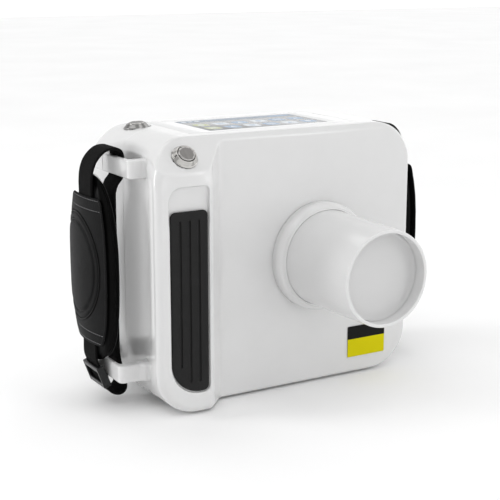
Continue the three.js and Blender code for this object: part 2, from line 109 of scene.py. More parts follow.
def surface(sdf, X, Y, Z, step=0.03, project=3):
    """surface nets on a rectilinear grid, pulled onto the exact surface, with its exact normals"""
    g = np.meshgrid(X, Y, Z, indexing="ij")
    F = sdf(*g).astype(np.float32)
    s = F < 0
    n = [len(X), len(Y), len(Z)]
    cnt = np.zeros((n[0] - 1, n[1] - 1, n[2] - 1), np.int8)
    for a in (0, 1):
        for b in (0, 1):
            for c in (0, 1):
                cnt += s[a:n[0] - 1 + a, b:n[1] - 1 + b, c:n[2] - 1 + c]
    act = (cnt > 0) & (cnt < 8)
    idx = np.full(act.shape, -1, np.int64)
    ii, jj, kk = np.nonzero(act)
    idx[ii, jj, kk] = np.arange(len(ii))
    P = np.zeros((len(ii), 3))
    C = np.zeros(len(ii))
    corners = [(a, b, c) for a in (0, 1) for b in (0, 1) for c in (0, 1)]
    for A in corners:
        for ax in range(3):
            if A[ax] == 1:
                continue
            B = list(A)
            B[ax] = 1
            fa = F[ii + A[0], jj + A[1], kk + A[2]].astype(float)
            fb = F[ii + B[0], jj + B[1], kk + B[2]].astype(float)
            m = (fa < 0) != (fb < 0)
            t = np.where(m, fa / np.where(m, fa - fb, 1), 0)
            pa = np.stack([X[ii + A[0]], Y[jj + A[1]], Z[kk + A[2]]], 1)
            pb = np.stack([X[ii + B[0]], Y[jj + B[1]], Z[kk + B[2]]], 1)
            P[m] += (pa + t[:, None] * (pb - pa))[m]
            C[m] += 1
    P /= C[:, None]
    faces = []
    for ax in range(3):
        sl0 = [slice(None)] * 3
        sl1 = [slice(None)] * 3
        sl0[ax], sl1[ax] = slice(0, -1), slice(1, None)
        sa, sb = s[tuple(sl0)], s[tuple(sl1)]
        cross = sa != sb
        o1, o2 = [(1, 2), (2, 0), (0, 1)][ax]
        trim = [slice(None)] * 3
        trim[o1], trim[o2] = slice(1, -1), slice(1, -1)
        e = np.argwhere(cross[tuple(trim)])
        if not len(e):
            continue
        e[:, o1] += 1
        e[:, o2] += 1
        q = []
        for d1, d2 in ((-1, -1), (0, -1), (0, 0), (-1, 0)):
            c = e.copy()
            c[:, o1] += d1
            c[:, o2] += d2
            q.append(idx[c[:, 0], c[:, 1], c[:, 2]])
        q = np.stack(q, 1)
        flip = ~sa[e[:, 0], e[:, 1], e[:, 2]]
        q[flip] = q[flip][:, ::-1]
        faces.append(q)
    faces = np.concatenate(faces)
    faces = faces[(faces >= 0).all(1)]
    cell = np.stack([np.diff(X)[ii], np.diff(Y)[jj], np.diff(Z)[kk]], 1)

    def grad(P, h):
        G = np.zeros_like(P)
        for a in range(3):
            d = np.zeros(3)
            d[a] = h
            G[:, a] = (sdf(*(P + d).T) - sdf(*(P - d).T)) / (2 * h)
        return G
    start = P.copy()
    for _ in range(project):
        G = grad(P, step)
        f = sdf(*P.T)
        P = P - (f / np.maximum((G ** 2).sum(1), 0.25))[:, None] * G
        P = start + np.clip(P - start, -0.75 * cell, 0.75 * cell)
    G = grad(P, step * 2)
    N = G / np.maximum(np.linalg.norm(G, axis=1), 1e-6)[:, None]
    return P, faces, N


def basis(normal):
    n = Vector(normal).normalized()
    a = Vector((0, 0, 1)) if abs(n.z) < 0.9 else Vector((0, 1, 0))
    u = a.cross(n).normalized()
    v = n.cross(u)
    return np.array(u), np.array(v), np.array(n)


def round_profile(pts, radii, n=4, closed=False):
    """a polyline of [r, h] with its corners rounded"""
    out = []
    m = len(pts)
    for i, p in enumerate(pts):
        r = radii[i] if hasattr(radii, "__len__") else radii
        if r <= 0 or (not closed and i in (0, m - 1)):
            out.append(list(p))
            continue
        a, b = np.array(pts[i - 1], float), np.array(pts[(i + 1) % m], float)
        p = np.array(p, float)
        da, db = a - p, b - p
        la, lb = np.linalg.norm(da), np.linalg.norm(db)
        r = min(r, la * 0.45, lb * 0.45)
        s, e = p + da / la * r, p + db / lb * r
        for k in range(n + 1):
            t = k / n
            out.append(list((1 - t) ** 2 * s + 2 * t * (1 - t) * p + t * t * e))
    return out


def lathe(name, prof, origin, normal, mat, n=96, closed=True, body="housing", sharp=35, wobble=None):
    """profile of [radius, height] about the normal; points on the axis become one vertex"""
    u, v, w = basis(normal)
    o = np.array(origin, float)
    verts, rings = [], []
    ang = np.linspace(0, 2 * np.pi, n, endpoint=False)
    for r, h in prof:
        if r < 1e-6:
            rings.append([len(verts)])
            verts.append(o + w * h)
        else:
            rings.append(list(range(len(verts), len(verts) + n)))
            for a in ang:
                verts.append(o + w * h + r * (math.cos(a) * u + math.sin(a) * v))
    faces = []
    pairs = list(zip(rings, rings[1:])) + ([(rings[-1], rings[0])] if closed and len(rings[0]) > 1 and len(rings[-1]) > 1 else [])
    for a, b in pairs:
        for i in range(n):
            j = (i + 1) % n
            if len(a) == 1 and len(b) == 1:
                continue
            if len(a) == 1:
                faces.append((a[0], b[j], b[i]))
            elif len(b) == 1:
                faces.append((a[i], a[j], b[0]))
            else:
                faces.append((a[i], a[j], b[j], b[i]))
    ob = make(name, verts, faces, mat, body, sharp=sharp)
    fix_out(ob)
    ob.data.set_sharp_from_angle(angle=math.radians(sharp))
    return ob


def fix_out(ob):
    bm = bmesh.new()
    bm.from_mesh(ob.data)
    bmesh.ops.remove_doubles(bm, verts=bm.verts, dist=1e-7)
    bmesh.ops.recalc_face_normals(bm, faces=bm.faces)
    if bm.calc_volume(signed=True) < 0:
        bmesh.ops.reverse_faces(bm, faces=bm.faces)
    bm.to_mesh(ob.data)
    bm.free()
    ob.data.update()


def loft(name, loops, mat, body="housing", close=True, caps=False, sharp=40):
    n = len(loops[0])
    verts = [p for l in loops for p in l]
    faces = []
    m = len(loops)
    for i in range(m if close else m - 1):
        a, b = i * n, ((i + 1) % m) * n
        for k in range(n):
            j = (k + 1) % n
            faces.append((a + k, a + j, b + j, b + k))
    if caps:
        faces.append(tuple(range(n))[::-1])
        faces.append(tuple((m - 1) * n + k for k in range(n)))
    ob = make(name, verts, faces, mat, body, sharp=sharp)
    fix_out(ob)
    ob.data.set_sharp_from_angle(angle=math.radians(sharp))
    return ob


def rr_loop(x0, x1, y0, y1, r, n=6):
    pts = []
    for cx, cy, a0 in ((x1 - r, y1 - r, 0), (x0 + r, y1 - r, 90), (x0 + r, y0 + r, 180), (x1 - r, y0 + r, 270)):
        for k in range(n + 1):
            a = math.radians(a0 + 90 * k / n)
            pts.append((cx + r * math.cos(a), cy + r * math.sin(a)))
    return pts


# -------------------------------------------------------------------- materials
class Nodes:
    def __init__(self, name):
        self.m = bpy.data.materials.new(name)
        self.m.use_nodes = True
        self.t = self.m.node_tree
        self.b = self.t.nodes["Principled BSDF"]

    def new(self, kind, **kw):
        n = self.t.nodes.new(kind)
        for k, v in kw.items():
            if hasattr(n, k):
                setattr(n, k, v)
            else:
                n.inputs[k.replace("_", " ")].default_value = v
        return n

    def link(self, a, b):
        self.t.links.new(a, b)

    def set(self, **kw):
        for k, v in kw.items():
            self.b.inputs[k.replace("_", " ")].default_value = v
        return self

    def coords(self, scale=(1, 1, 1), rot=(0, 0, 0)):
        c = self.new("ShaderNodeTexCoord")
        mp = self.new("ShaderNodeMapping")
        mp.inputs["Scale"].default_value = scale
        mp.inputs["Rotation"].default_value = rot
        self.link(c.outputs["Object"], mp.inputs["Vector"])
        return mp.outputs["Vector"]

    def noise(self, scale, detail=3, rough=0.5, vec=None, dist=0.0):
        n = self.new("ShaderNodeTexNoise")
        n.inputs["Scale"].default_value = scale
        n.inputs["Detail"].default_value = detail
        n.inputs["Roughness"].default_value = rough
        n.inputs["Distortion"].default_value = dist
        self.link(vec if vec is not None else self.coords(), n.inputs["Vector"])
        return n.outputs["Fac"]

    def ramp(self, fac, stops):
        r = self.new("ShaderNodeValToRGB")
        e = r.color_ramp.elements
        while len(e) < len(stops):
            e.new(0.5)
        for x, (p, c) in zip(e, stops):
            x.position = p
            x.color = (*c, 1) if len(c) == 3 else c
        self.link(fac, r.inputs["Fac"])
        return r.outputs["Color"]

    def math(self, op, a, b=None, c=None):
        n = self.new("ShaderNodeMath", operation=op)
        for i, x in enumerate((a, b, c)):
            if x is None:
                continue
            if isinstance(x, (int, float)):
                n.inputs[i].default_value = x
            else:
                self.link(x, n.inputs[i])
        return n.outputs[0]

    def rng(self, fac, a, b):
        n = self.new("ShaderNodeMapRange")
        n.inputs["To Min"].default_value = a
        n.inputs["To Max"].default_value = b
        self.link(fac, n.inputs["Value"])
        return n.outputs["Result"]

    def bump(self, height, dist, strength=1.0, prev=None):
        n = self.new("ShaderNodeBump")
        n.inputs["Strength"].default_value = strength
        n.inputs["Distance"].default_value = dist
        self.link(height, n.inputs["Height"])
        if prev is not None:
            self.link(prev, n.inputs["Normal"])
        return n.outputs["Normal"]


def gloss_white(name, col, rough=0.16, coat=0.35):
    m = Nodes(name)
    f = m.noise(55, 4, 0.6)
    c = [tuple(x * k for x in col) for k in (0.975, 1.0)]
    m.link(m.ramp(f, [(0.25, c[0]), (0.75, c[1])]), m.b.inputs["Base Color"])
    m.link(m.rng(m.noise(420, 2, 0.5), rough - 0.025, rough + 0.035), m.b.inputs["Roughness"])
    m.link(m.bump(m.noise(900, 2, 0.4), 0.00002, 0.35), m.b.inputs["Normal"])
    m.set(Coat_Weight=coat, Coat_Roughness=0.06, IOR=1.5, Specular_IOR_Level=0.5)
    return m.m


def turned_steel(name, col=(0.56, 0.55, 0.53), rough=0.085, grit=0.000015):
    m = Nodes(name)
    f = m.noise(700, 5, 0.65, m.coords((1, 1, 1)))
    m.link(m.ramp(f, [(0.3, tuple(x * 0.86 for x in col)), (0.7, col)]), m.b.inputs["Base Color"])
    m.link(m.rng(m.noise(260, 4, 0.6), rough - 0.035, rough + 0.05), m.b.inputs["Roughness"])
    m.link(m.bump(m.noise(1600, 3, 0.6), grit, 0.4), m.b.inputs["Normal"])
    m.set(Metallic=1.0)
    return m.m


def brushed_face(name, col, axis_scale, rough=0.3):
    m = Nodes(name)
    v = m.coords(axis_scale)
    f = m.noise(260, 6, 0.7, v)
    m.link(m.ramp(f, [(0.28, tuple(x * 0.72 for x in col)), (0.72, tuple(min(1, x * 1.12) for x in col))]), m.b.inputs["Base Color"])
    m.link(m.rng(f, rough - 0.07, rough + 0.12), m.b.inputs["Roughness"])
    m.link(m.bump(f, 0.00003, 0.6), m.b.inputs["Normal"])
    m.set(Metallic=1.0)
    return m.m


def rubber(name, col=0.020, rough=0.62, grain=2400, spec=0.3):
    m = Nodes(name)
    f = m.noise(90, 4, 0.6)
    m.link(m.ramp(f, [(0.3, (col * 0.85,) * 3), (0.75, (col * 1.18,) * 3)]), m.b.inputs["Base Color"])
    g = m.noise(grain, 3, 0.6)
    m.link(m.rng(g, rough - 0.08, rough + 0.1), m.b.inputs["Roughness"])
    m.link(m.bump(g, 0.00006, 0.55), m.b.inputs["Normal"])
    m.set(Specular_IOR_Level=spec)
    return m.m


def leather(name, col=(0.038, 0.039, 0.040)):
    m = Nodes(name)
    v = m.coords()
    vo = m.new("ShaderNodeTexVoronoi", feature="DISTANCE_TO_EDGE")
    vo.inputs["Scale"].default_value = 900
    w = m.noise(60, 3, 0.6, v)
    m.link(v, vo.inputs["Vector"])
    pores = m.math("MINIMUM", vo.outputs["Distance"], 0.28)
    fine = m.noise(1500, 4, 0.65, v)
    h = m.math("ADD", m.math("MULTIPLY", pores, 2.2), m.math("MULTIPLY", fine, 0.55))
    m.link(m.bump(m.noise(120, 3, 0.5, v), 0.0004, 0.22, m.bump(h, 0.00016, 0.6)), m.b.inputs["Normal"])
    m.link(m.ramp(w, [(0.25, tuple(x * 0.72 for x in col)), (0.8, tuple(x * 1.25 for x in col))]), m.b.inputs["Base Color"])
    m.link(m.rng(fine, 0.36, 0.54), m.b.inputs["Roughness"])
    m.set(Specular_IOR_Level=0.035)
    return m.m


def woven(name, col=0.0075, pitch=1.1, rough=0.8):
    """plain webbing: ribs across the width, with the yarns of each rib"""
    m = Nodes(name)
    k = 2 * math.pi / (pitch * 0.001)
    sep = m.new("ShaderNodeSeparateXYZ")
    m.link(m.coords(), sep.inputs["Vector"])
    along = m.math("ADD", m.math("MULTIPLY", sep.outputs["Z"], k), m.math("MULTIPLY", sep.outputs["X"], k * 0.8))
    across = m.math("MULTIPLY", sep.outputs["Y"], k * 1.25)
    a = m.math("SINE", along)
    b = m.math("SINE", across)
    h = m.math("MULTIPLY", a, b)
    fz = m.noise(2600, 3, 0.7)
    hh = m.math("ADD", h, m.math("MULTIPLY", fz, 0.7))
    m.link(m.bump(hh, 0.00018, 0.8), m.b.inputs["Normal"])
    # the colour follows the weave height h: painted shade in the low points between the yarns, lighter on the raised
    # yarns
    m.link(m.ramp(m.math("ADD", m.math("MULTIPLY", h, 0.5), 0.5), [(0.1, (col * 0.45,) * 3), (0.9, (col * 1.7,) * 3)]), m.b.inputs["Base Color"])
    m.link(m.rng(fz, rough - 0.08, rough + 0.12), m.b.inputs["Roughness"])
    m.set(Specular_IOR_Level=0.06)
    return m.m


def plastic(name, col, rough=0.35, grain=1200, depth=0.00004, spec=0.5):
    m = Nodes(name)
    f = m.noise(140, 4, 0.6)
    m.link(m.ramp(f, [(0.3, tuple(x * 0.88 for x in col)), (0.7, tuple(min(1, x * 1.1) for x in col))]), m.b.inputs["Base Color"])
    g = m.noise(grain, 3, 0.6)
    m.link(m.rng(g, max(0.02, rough - 0.07), rough + 0.08), m.b.inputs["Roughness"])
    m.link(m.bump(g, depth, 0.5), m.b.inputs["Normal"])
    m.set(Specular_IOR_Level=spec)
    return m.m


def metal(name, col, rough=0.45):
    m = Nodes(name)
    f = m.noise(180, 5, 0.65)
    m.link(m.ramp(f, [(0.3, tuple(x * 0.8 for x in col)), (0.7, col)]), m.b.inputs["Base Color"])
    m.link(m.rng(m.noise(500, 3, 0.6), rough - 0.1, rough + 0.12), m.b.inputs["Roughness"])
    m.link(m.bump(m.noise(1400, 3, 0.6), 0.00003, 0.5), m.b.inputs["Normal"])
    m.set(Metallic=1.0)
    return m.m


def satin(name, col, rough, spec=0.4):
    m = Nodes(name)
    f = m.noise(60, 3, 0.5)
    m.link(m.ramp(f, [(0.3, tuple(x * 0.985 for x in col)), (0.7, col)]), m.b.inputs["Base Color"])
    m.link(m.rng(m.noise(700, 2, 0.5), rough - 0.03, rough + 0.04), m.b.inputs["Roughness"])
    m.link(m.bump(m.noise(1500, 2, 0.5), 0.00001, 0.4), m.b.inputs["Normal"])
    m.set(Specular_IOR_Level=spec)
    return m.m


def lit(name, col, strength, rough=0.2):
    """a lit field of the display under its glass"""
    m = Nodes(name)
    f = m.noise(300, 3, 0.5)
    c = m.ramp(f, [(0.2, tuple(x * 0.85 for x in col)), (0.8, tuple(min(1, x * 1.08) for x in col))])
    m.link(c, m.b.inputs["Base Color"])
    m.link(c, m.b.inputs["Emission Color"])
    m.set(Emission_Strength=strength, Roughness=rough, Specular_IOR_Level=0.08)
    return m.m


M = {}
M["white"] = gloss_white("shell_gloss_white", (0.675, 0.675, 0.675))
M["cone"] = gloss_white("cone_gloss_white", (0.685, 0.685, 0.685), 0.2, 0.3)
M["frame"] = gloss_white("display_frame_white", (0.675, 0.677, 0.68), 0.2, 0.3)
M["window"] = satin("cone_window_satin", (0.60, 0.60, 0.60), 0.42)
M["steel"] = turned_steel("button_turned_steel")
# darker copy of the turned steel for the power button on top: painted shade standing in for the dark reflections it
# shows
M["steel_top"] = turned_steel("button_turned_steel_top", (0.30, 0.295, 0.29), 0.10, 0.00009)
M["cap"] = brushed_face("button_brushed_face", (0.24, 0.232, 0.225), (1.0, 0.06, 0.06), 0.34)
M["cap_side"] = turned_steel("button_cap_rim", (0.46, 0.45, 0.44), 0.14)
M["gap"] = plastic("button_gap_black", (0.006, 0.006, 0.006), 0.5)
M["grip"] = rubber("grip_rubber", 0.0110, 0.48, 2400, 0.17)
M["foot"] = rubber("foot_rubber", 0.012, 0.7)
M["leather"] = leather("strap_leather", (0.0072, 0.0073, 0.0075))
M["web"] = woven("strap_webbing", 0.0055)
M["lining"] = rubber("strap_lining_foam", 0.0016, 0.36, 1800, 0.05)
M["thread"] = plastic("strap_thread", (0.13, 0.13, 0.135), 0.55, 3000, 0.00008)
# near-black cord for the pressed oval grooves: a dark thing standing in for the shade in the grooves
M["piping"] = plastic("strap_piping", (0.0035, 0.0035, 0.0035), 0.45, 3000, 0.00005, 0.15)
M["thread_dark"] = plastic("strap_edge_thread", (0.008, 0.008, 0.008), 0.5, 3000, 0.00008, 0.2)
M["thread_dim"] = plastic("strap_seam_thread", (0.045, 0.045, 0.046), 0.55, 3000, 0.00008, 0.3)
M["buckle"] = plastic("buckle_black_plastic", (0.005, 0.005, 0.0055), 0.3, 1500, 0.00003, 0.35)
M["yellow"] = satin("plate_yellow", (0.62, 0.555, 0.0006), 0.45, 0.08)
M["black"] = plastic("plate_black", (0.006, 0.006, 0.0055), 0.4, 900, 0.00001, 0.1)
M["socket"] = plastic("socket_black", (0.012, 0.012, 0.012), 0.42)
M["screen"] = lit("screen_field", (0.17, 0.175, 0.18), 0.3)
M["tile_blue"] = lit("screen_tile_blue", (0.14, 0.21, 0.31), 0.4)
M["tile_pale"] = lit("screen_tile_pale", (0.40, 0.43, 0.46), 0.4)
M["tile_green"] = lit("screen_tile_green", (0.27, 0.29, 0.15), 0.4)
M["tile_deep"] = lit("screen_tile_deep", (0.10, 0.14, 0.19), 0.4)

# ------------------------------------------------------------- housing surface
COL_X1, COL_X2 = -68.2, -48.2
EXPO_N = np.array([0, -math.sqrt(0.5), math.sqrt(0.5)])
EXPO_O = np.array([-80.7, -8.1, H - 3.6 - 8.1])
PA = math.radians(4)
POWER_N = np.array([-math.sin(PA), 0, math.cos(PA)])
POWER_O = np.array([-W / 2 + R - (R - 1.0) * math.sin(PA), 68.0, H - R + (R - 1.0) * math.cos(PA)])


def smooth_step(u, a=0.25):
    """0 to 1 with a straight middle and round ends"""
    u = np.clip(u, 0, 1)
    k = 1 / (1 - a)
    lo = k * u * u / (2 * a)
    mid = k * (u - a / 2)
    hi = 1 - k * (1 - u) ** 2 / (2 * a)
    return np.where(u < a, lo, np.where(u > 1 - a, hi, mid))


def front_line(x):
    return -PROUD * (1 - smooth_step((x - COL_X1) / (COL_X2 - COL_X1)))


def scoop(x, y, side):
    yc, half = (36.5, 45.5) if side < 0 else (45.0, 41.0)
    rs = (half ** 2 + 81.0) / 18.0
    cx = side * (W / 2 - 9.0 + rs)
    return rs - np.hypot(x - cx, y - yc)


def body_sdf(x, y, z):
    prof = box2(x, z, -W / 2, W / 2, 0, H, R)
    # the column's face is slightly bowed across at its top
    up = np.clip((z - 150.0) / 14.0, 0, 1)
    f = front_line(x) + 2.4 * np.clip(np.abs(x + 84.0) / 22.0, 0, 1) ** 2 * up * up * (3 - 2 * up) * np.clip(-front_line(x) / PROUD, 0, 1)
    slope = (front_line(x + 0.05) - front_line(x - 0.05)) / 0.1
    front = (f - y) / np.sqrt(1 + slope ** 2)
    col = 1 - smooth_step((x - COL_X1) / (COL_X2 - COL_X1))
    b = rmax(prof, front, 2.6 + 2.4 * col)
    b = rmax(b, y - D, 5.0)
    b = rmax(b, ((z - y) - (H - 3.6)) / math.sqrt(2), 0.9)
    b = rmax(b, scoop(x, y, -1), 3.2)
    b = rmax(b, scoop(x, y, 1), 3.0)
    return b


def cylinder(x, y, z, o, n, r):
    d = (x - o[0]) * n[0] + (y - o[1]) * n[1] + (z - o[2]) * n[2]
    return np.sqrt(np.maximum((x - o[0]) ** 2 + (y - o[1]) ** 2 + (z - o[2]) ** 2 - d * d, 0)) - r, d


def shell_sdf(x, y, z, half):
    b = body_sdf(x, y, z)
    inner = b + 3.0
    if half == "front":
        thick = 2.8 * (1 - smooth_step((x - COL_X1) / (COL_X2 - COL_X1)))
        inner = inner + thick
        pocket = rmax(box2r(x, z, -96.5, -67.7, 14.1, 137.9, 21.5, 4.8, 4.4, 4.4), y - (-PROUD + 2.4), 0.5)
        b = rmax(b, -pocket, 0.7)
        t = np.clip((z - 140.0) / 13.2, 0, 1)
        depth = 3.1 * np.sqrt(np.maximum(1 - t ** 2.2, 0)) + 0.0
        rest = rmax(box2r(x, z, -96.9, -67.6, 128.0, 153.2, 1, 1, 4.5, 10.5), y - (-PROUD + depth), 0.9)
        b = rmax(b, -rest, 0.8)
        hole = np.maximum(np.hypot(x - 28.5, z - 92) - 34.6, np.abs(y) - 9)
        b = np.maximum(b, -hole)
        c, d = cylinder(x, y, z, EXPO_O, EXPO_N, 8.3)
        b = np.maximum(b, -np.maximum(c, np.abs(d) - 9))
    else:
        for bx, bz in ((-88, 32), (-88, 140), (88, 32), (88, 140)):
            b = rmax(b, -np.maximum(np.hypot(x - bx, z - bz) - 4.2, 70 - y), 0.35)
        b = rmax(b, -np.maximum(np.hypot(x + 58, z - 24) - 7.2, D - 1.4 - y), 0.3)
        b = np.maximum(b, -np.maximum(np.hypot(x + 58, z - 24) - 5.8, D - 9 - y))
        c, d = cylinder(x, y, z, POWER_O, POWER_N, 9.9)
        b = rmax(b, -np.maximum(c, -0.3 - d), 0.3)
        b = np.maximum(b, -np.maximum(c + 1.6, np.abs(d) - 9))
    # recess of the display plate, and the opening under it
    plate = np.maximum(box2(x, y, -64.85, 66.35, 11.65, 80.35, 0.8), 180.0 - z)
    b = rmax(b, -plate, 0.25)
    b = np.maximum(b, -np.maximum(box2(x, y, -61.5, 63, 15, 77, 1), 170.0 - z))
    shell = np.maximum(b, -inner)
    cut = (y - 49.985) if half == "front" else (50.015 - y)
    return rmax(shell, cut, 0.16)


def build_shell(half):
    if half == "front":
        Y = axis_points(-20.3, 51.3, 2.3, [(-14.4, 3.4, 0.7), (1.6, 2.4, 0.7), (49.8, 0.7, 0.16), (11.7, 0.5, 0.2)])
        X = axis_points(-108.1, 108.1, 2.4, [(-103, 4.5, 0.9), (-96.7, 1.2, 0.45), (-67.8, 1.4, 0.45), (-58, 9, 1.1), (-64.8, 0.5, 0.2), (66.3, 0.5, 0.2), (103, 4, 0.9), (-80.7, 9, 1.2)])
        Z = axis_points(-2.1, 184.1, 2.4, [(1.5, 3, 0.9), (16, 3, 0.9), (138, 1.0, 0.5), (150, 5, 0.6), (168, 9, 1.1), (179, 2.2, 0.6), (181, 1.5, 0.22)])
    else:
        Y = axis_points(48.7, 92.1, 2.4, [(50.2, 0.7, 0.16), (80.3, 0.5, 0.2), (87.5, 3.4, 0.7)])
        X = axis_points(-108.1, 108.1, 2.4, [(-99, 6, 1.3), (99, 6, 1.3), (-88, 4.8, 0.8), (-75.7, 10.5, 1.0), (-58, 7.6, 0.8), (-64.8, 0.5, 0.2), (66.3, 0.5, 0.2), (88, 4.8, 0.8)])
        Z = axis_points(-2.1, 184.1, 2.4, [(24, 7.6, 0.8), (32, 4.8, 0.8), (140, 4.8, 0.8), (168, 6, 1.2), (176, 3, 0.8), (181, 1.5, 0.22)])
    P, F, N = surface(lambda x, y, z: shell_sdf(x, y, z, half), X, Y, Z)
    ob = make(f"{half}_shell_skin", P, F, M["white"], normals=N)
    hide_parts(f"{half}_shell")
    return ob


front_ob = build_shell("front")
rear_ob = build_shell("rear")


# -------------------------------------------------------------------- strap lugs
def build_lug(name, side, yc, ox, z0, z1, tab):
    hy, bar = 29.3, 3.6

    def sdf(x, y, z):
        xx = x * (1 if side < 0 else -1)                    # drawn on the -X side
        zc, hz = (z0 + z1) / 2, (z1 - z0) / 2
        outer = box2(xx, y, ox, -80, yc - hy, yc + hy, 4.2)
        slot = box2(xx, y, ox + bar, -60, yc - hy + 7.2, yc + hy - 7.2, 2.2)
        plan = rmax(outer, -slot, 0.6)
        wall = body_sdf(x, y, z) + 0.12
        # the posts flare into the housing within the thickness of the lug
        plan = rmin(plan, wall, 3.4 if not tab else 3.0)
        plan = np.maximum(plan, np.abs(y - yc) - hy - 11.0)
        m = rmax(plan, np.abs(z - zc) - hz, 1.3)
        # the flares die away with rounded corners
        m = rmax(m, box2(y, z, yc - hy - 3.2, yc + hy + 3.2, z0 - 3, z1 + 0.2, 6.0), 0.8) if not tab else m
        if tab:
            for a, b in ((yc - hy - 2.6, yc - hy + 9.0), (yc + hy - 9.0, yc + hy + 2.6)):
                t = rmax(box2(xx, y, -105.4, -80, a, b, 1.6), np.abs(z - zc) - hz + 0.4, 1.6)
                m = rmin(m, t, 3.0)
        groove = np.maximum(np.abs(y - 50.0) - 0.28, xx - (ox + 0.45))
        m = rmax(m, -groove, 0.12)
        return np.maximum(m, -(wall + 0.7))
    xs = sorted([side * 93.5, side * (-ox + 1.2)])
    X = axis_points(xs[0], xs[1], 0.7, [])
    Y = axis_points(yc - hy - 12.3, yc + hy + 12.3, 0.9, [(50, 0.6, 0.18), (yc - hy + 2, 4.0, 0.6), (yc - hy + 7.2, 1.6, 0.5), (yc + hy, 3, 0.6), (yc + hy - 7.2, 1.6, 0.5)])
    Z = axis_points(z0 - 6.2, z1 + 6.2, 0.9, [(z0, 1.6, 0.4), (z1, 1.6, 0.4)])
    P, F, N = surface(sdf, X, Y, Z, 0.02)
    ob = make(name + "_skin", P, F, M["white"], normals=N)
    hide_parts(name)


for nm, side, yc, ox, z0, z1, tab in (("lug_top_left", -1, 38, -112, 156, 168.6, False), ("lug_low_left", -1, 38, -121.6, 19.8, 31.8, True),
                                      ("lug_top_right", 1, STRAP_R, -112, 156, 168.6, False), ("lug_low_right", 1, STRAP_R, -121.6, 19.8, 31.8, True)):
    build_lug(nm, side, yc, ox, z0, z1, tab)


# ---------------------------------------------------------------------- grip pad
def pad_sdf(x, y, z):
    out = box2r(x, z, -95.6, -68.6, 15, 137, 21, 4, 3.5, 3.5)
    b = rmax(rmax(out, (-PROUD + 0.7) - y, 0.7), y - (-PROUD + 2.1), 0.2)
    for gx, zlo in ((-88.9, 33.0), (-82.1, 22.0), (-75.3, 22.0)):
        g = np.hypot(x - gx, np.maximum(np.maximum(zlo + 1 - z, z - 130.2), 0)) - 0.85
        b = rmax(b, -rmax(g, y - (-PROUD + 1.65), 0.3), 0.25)
    return b


P_, F_, N_ = surface(pad_sdf, axis_points(-96.6, -67.6, 0.9, [(-95, 1.4, 0.35), (-88.9, 1.3, 0.22), (-82.1, 1.3, 0.22), (-75.3, 1.3, 0.22), (-69.2, 1.4, 0.35)]),
                     axis_points(-17.4, -14.6, 0.25, []), axis_points(14, 138, 1.6, [(17, 3, 0.5), (133, 5, 0.5), (23, 1.5, 0.5), (33, 1.5, 0.5)]), 0.02)
ob = make("grip_pad_skin", P_, F_, M["grip"], normals=N_)
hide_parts("grip_pad")

# -------------------------------------------------------------------------- cone
CO, CN = (28.5, 0, 92), (0, -1, 0)
ring = round_profile([[33.98, 0.3], [38.5, 0.3], [38.5, 5.4], [37.3, 7.7], [35.4, 9.0], [34.7, 10.9], [33.9, 11.1]], [0.1, 0.3, 1.8, 1.4, 1.2, 0.5, 0.15], 6, True)
ob = lathe("cone_ring_skin", ring, CO, CN, M["cone"], 144)
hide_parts("cone_ring")
tube = round_profile([[30, -6], [33.8, -6], [33.8, 6], [32.5, 80], [30.15, 80], [30, 40]], [0.3, 0.5, 4, 0.75, 0.55, 0], 5, True)
ob = lathe("cone_tube_skin", tube, CO, CN, M["cone"], 160)
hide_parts("cone_tube")
win = [[0, 67.8], [29.94, 67.8], [29.94, 71.3], [29.8, 70.75], [29.5, 70.3], [29.05, 69.95], [28.4, 69.68], [27.4, 69.53], [26, 69.5], [0, 69.5]]
ob = lathe("cone_window_skin", win, CO, CN, M["window"], 128, closed=False)
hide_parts("cone_window")


# ----------------------------------------------------------------------- buttons
def button(prefix, origin, normal, body, ring_r):
    k = ring_r / 9.0 * 0.975
    bez = round_profile([[5.95, -10.2], [5.95, 3.6], [6.25, 3.9], [6.75, 3.9], [8.55, 1.0], [9.0, 0.66], [9.0, 0.02], [7.9, 0.02], [7.9, -18], [3.6, -18], [3.6, -10.2]],
                        [0, 0.12, 0.12, 0.2, 0.25, 0.2, 0.08, 0.05, 0.2, 0.2, 0], 3, True)
    low = 1.0 if prefix == "exposure" else 0.8
    bez = [[r * k if r > 8 else r, h * low if h > 0.7 else h] for r, h in bez]
    # the power bezel takes the darker steel copy, which is painted shade
    o = lathe(f"{prefix}_bezel_skin", bez, origin, normal, M["steel"] if prefix == "exposure" else M["steel_top"], 128, sharp=28)
    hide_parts(f"{prefix}_bezel")
    cap = round_profile([[0, -16], [3.2, -16], [3.2, -8], [5.68, -8], [5.68, 4.15], [5.3, 4.7], [4.9, 4.7], [4.6, 4.38], [0, 4.38]],
                        [0, 0.1, 0.2, 0.2, 0.15, 0.12, 0.12, 0.1, 0], 3)
    cap = [[r, h * low if h > 0.7 else h] for r, h in cap]
    o = lathe(f"{prefix}_cap_skin", cap, origin, normal, [M["cap_side"], M["cap"]], 128, closed=False, body=body, sharp=28)
    n = np.array(normal); c0 = to_frame(origin)
    for p in o.data.polygons:
        q = np.array(p.center) - c0
        h = q @ n * 1000
        rad = np.linalg.norm(q * 1000 - h * n)
        if h > 4.3 * low and rad < 4.6:
            p.material_index = 1
    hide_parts(f"{prefix}_cap")


button("exposure", EXPO_O + EXPO_N * 0.3, EXPO_N, "exposure_plunger", 9.0)
button("power", POWER_O, POWER_N, "power_plunger", 9.4)

# ----------------------------------------------------------------------- display
OUTR, INR = (-64.5, 66.0, 12.0, 80.0), (-46.5, 48.9, 20.3, 74.0)


def rect3(rect, inset, r, z):
    x0, x1, y0, y1 = rect
    return [(x, y, z) for x, y in rr_loop(x0 + inset, x1 - inset, y0 + inset, y1 - inset, max(r - inset, 0.05), 5)]


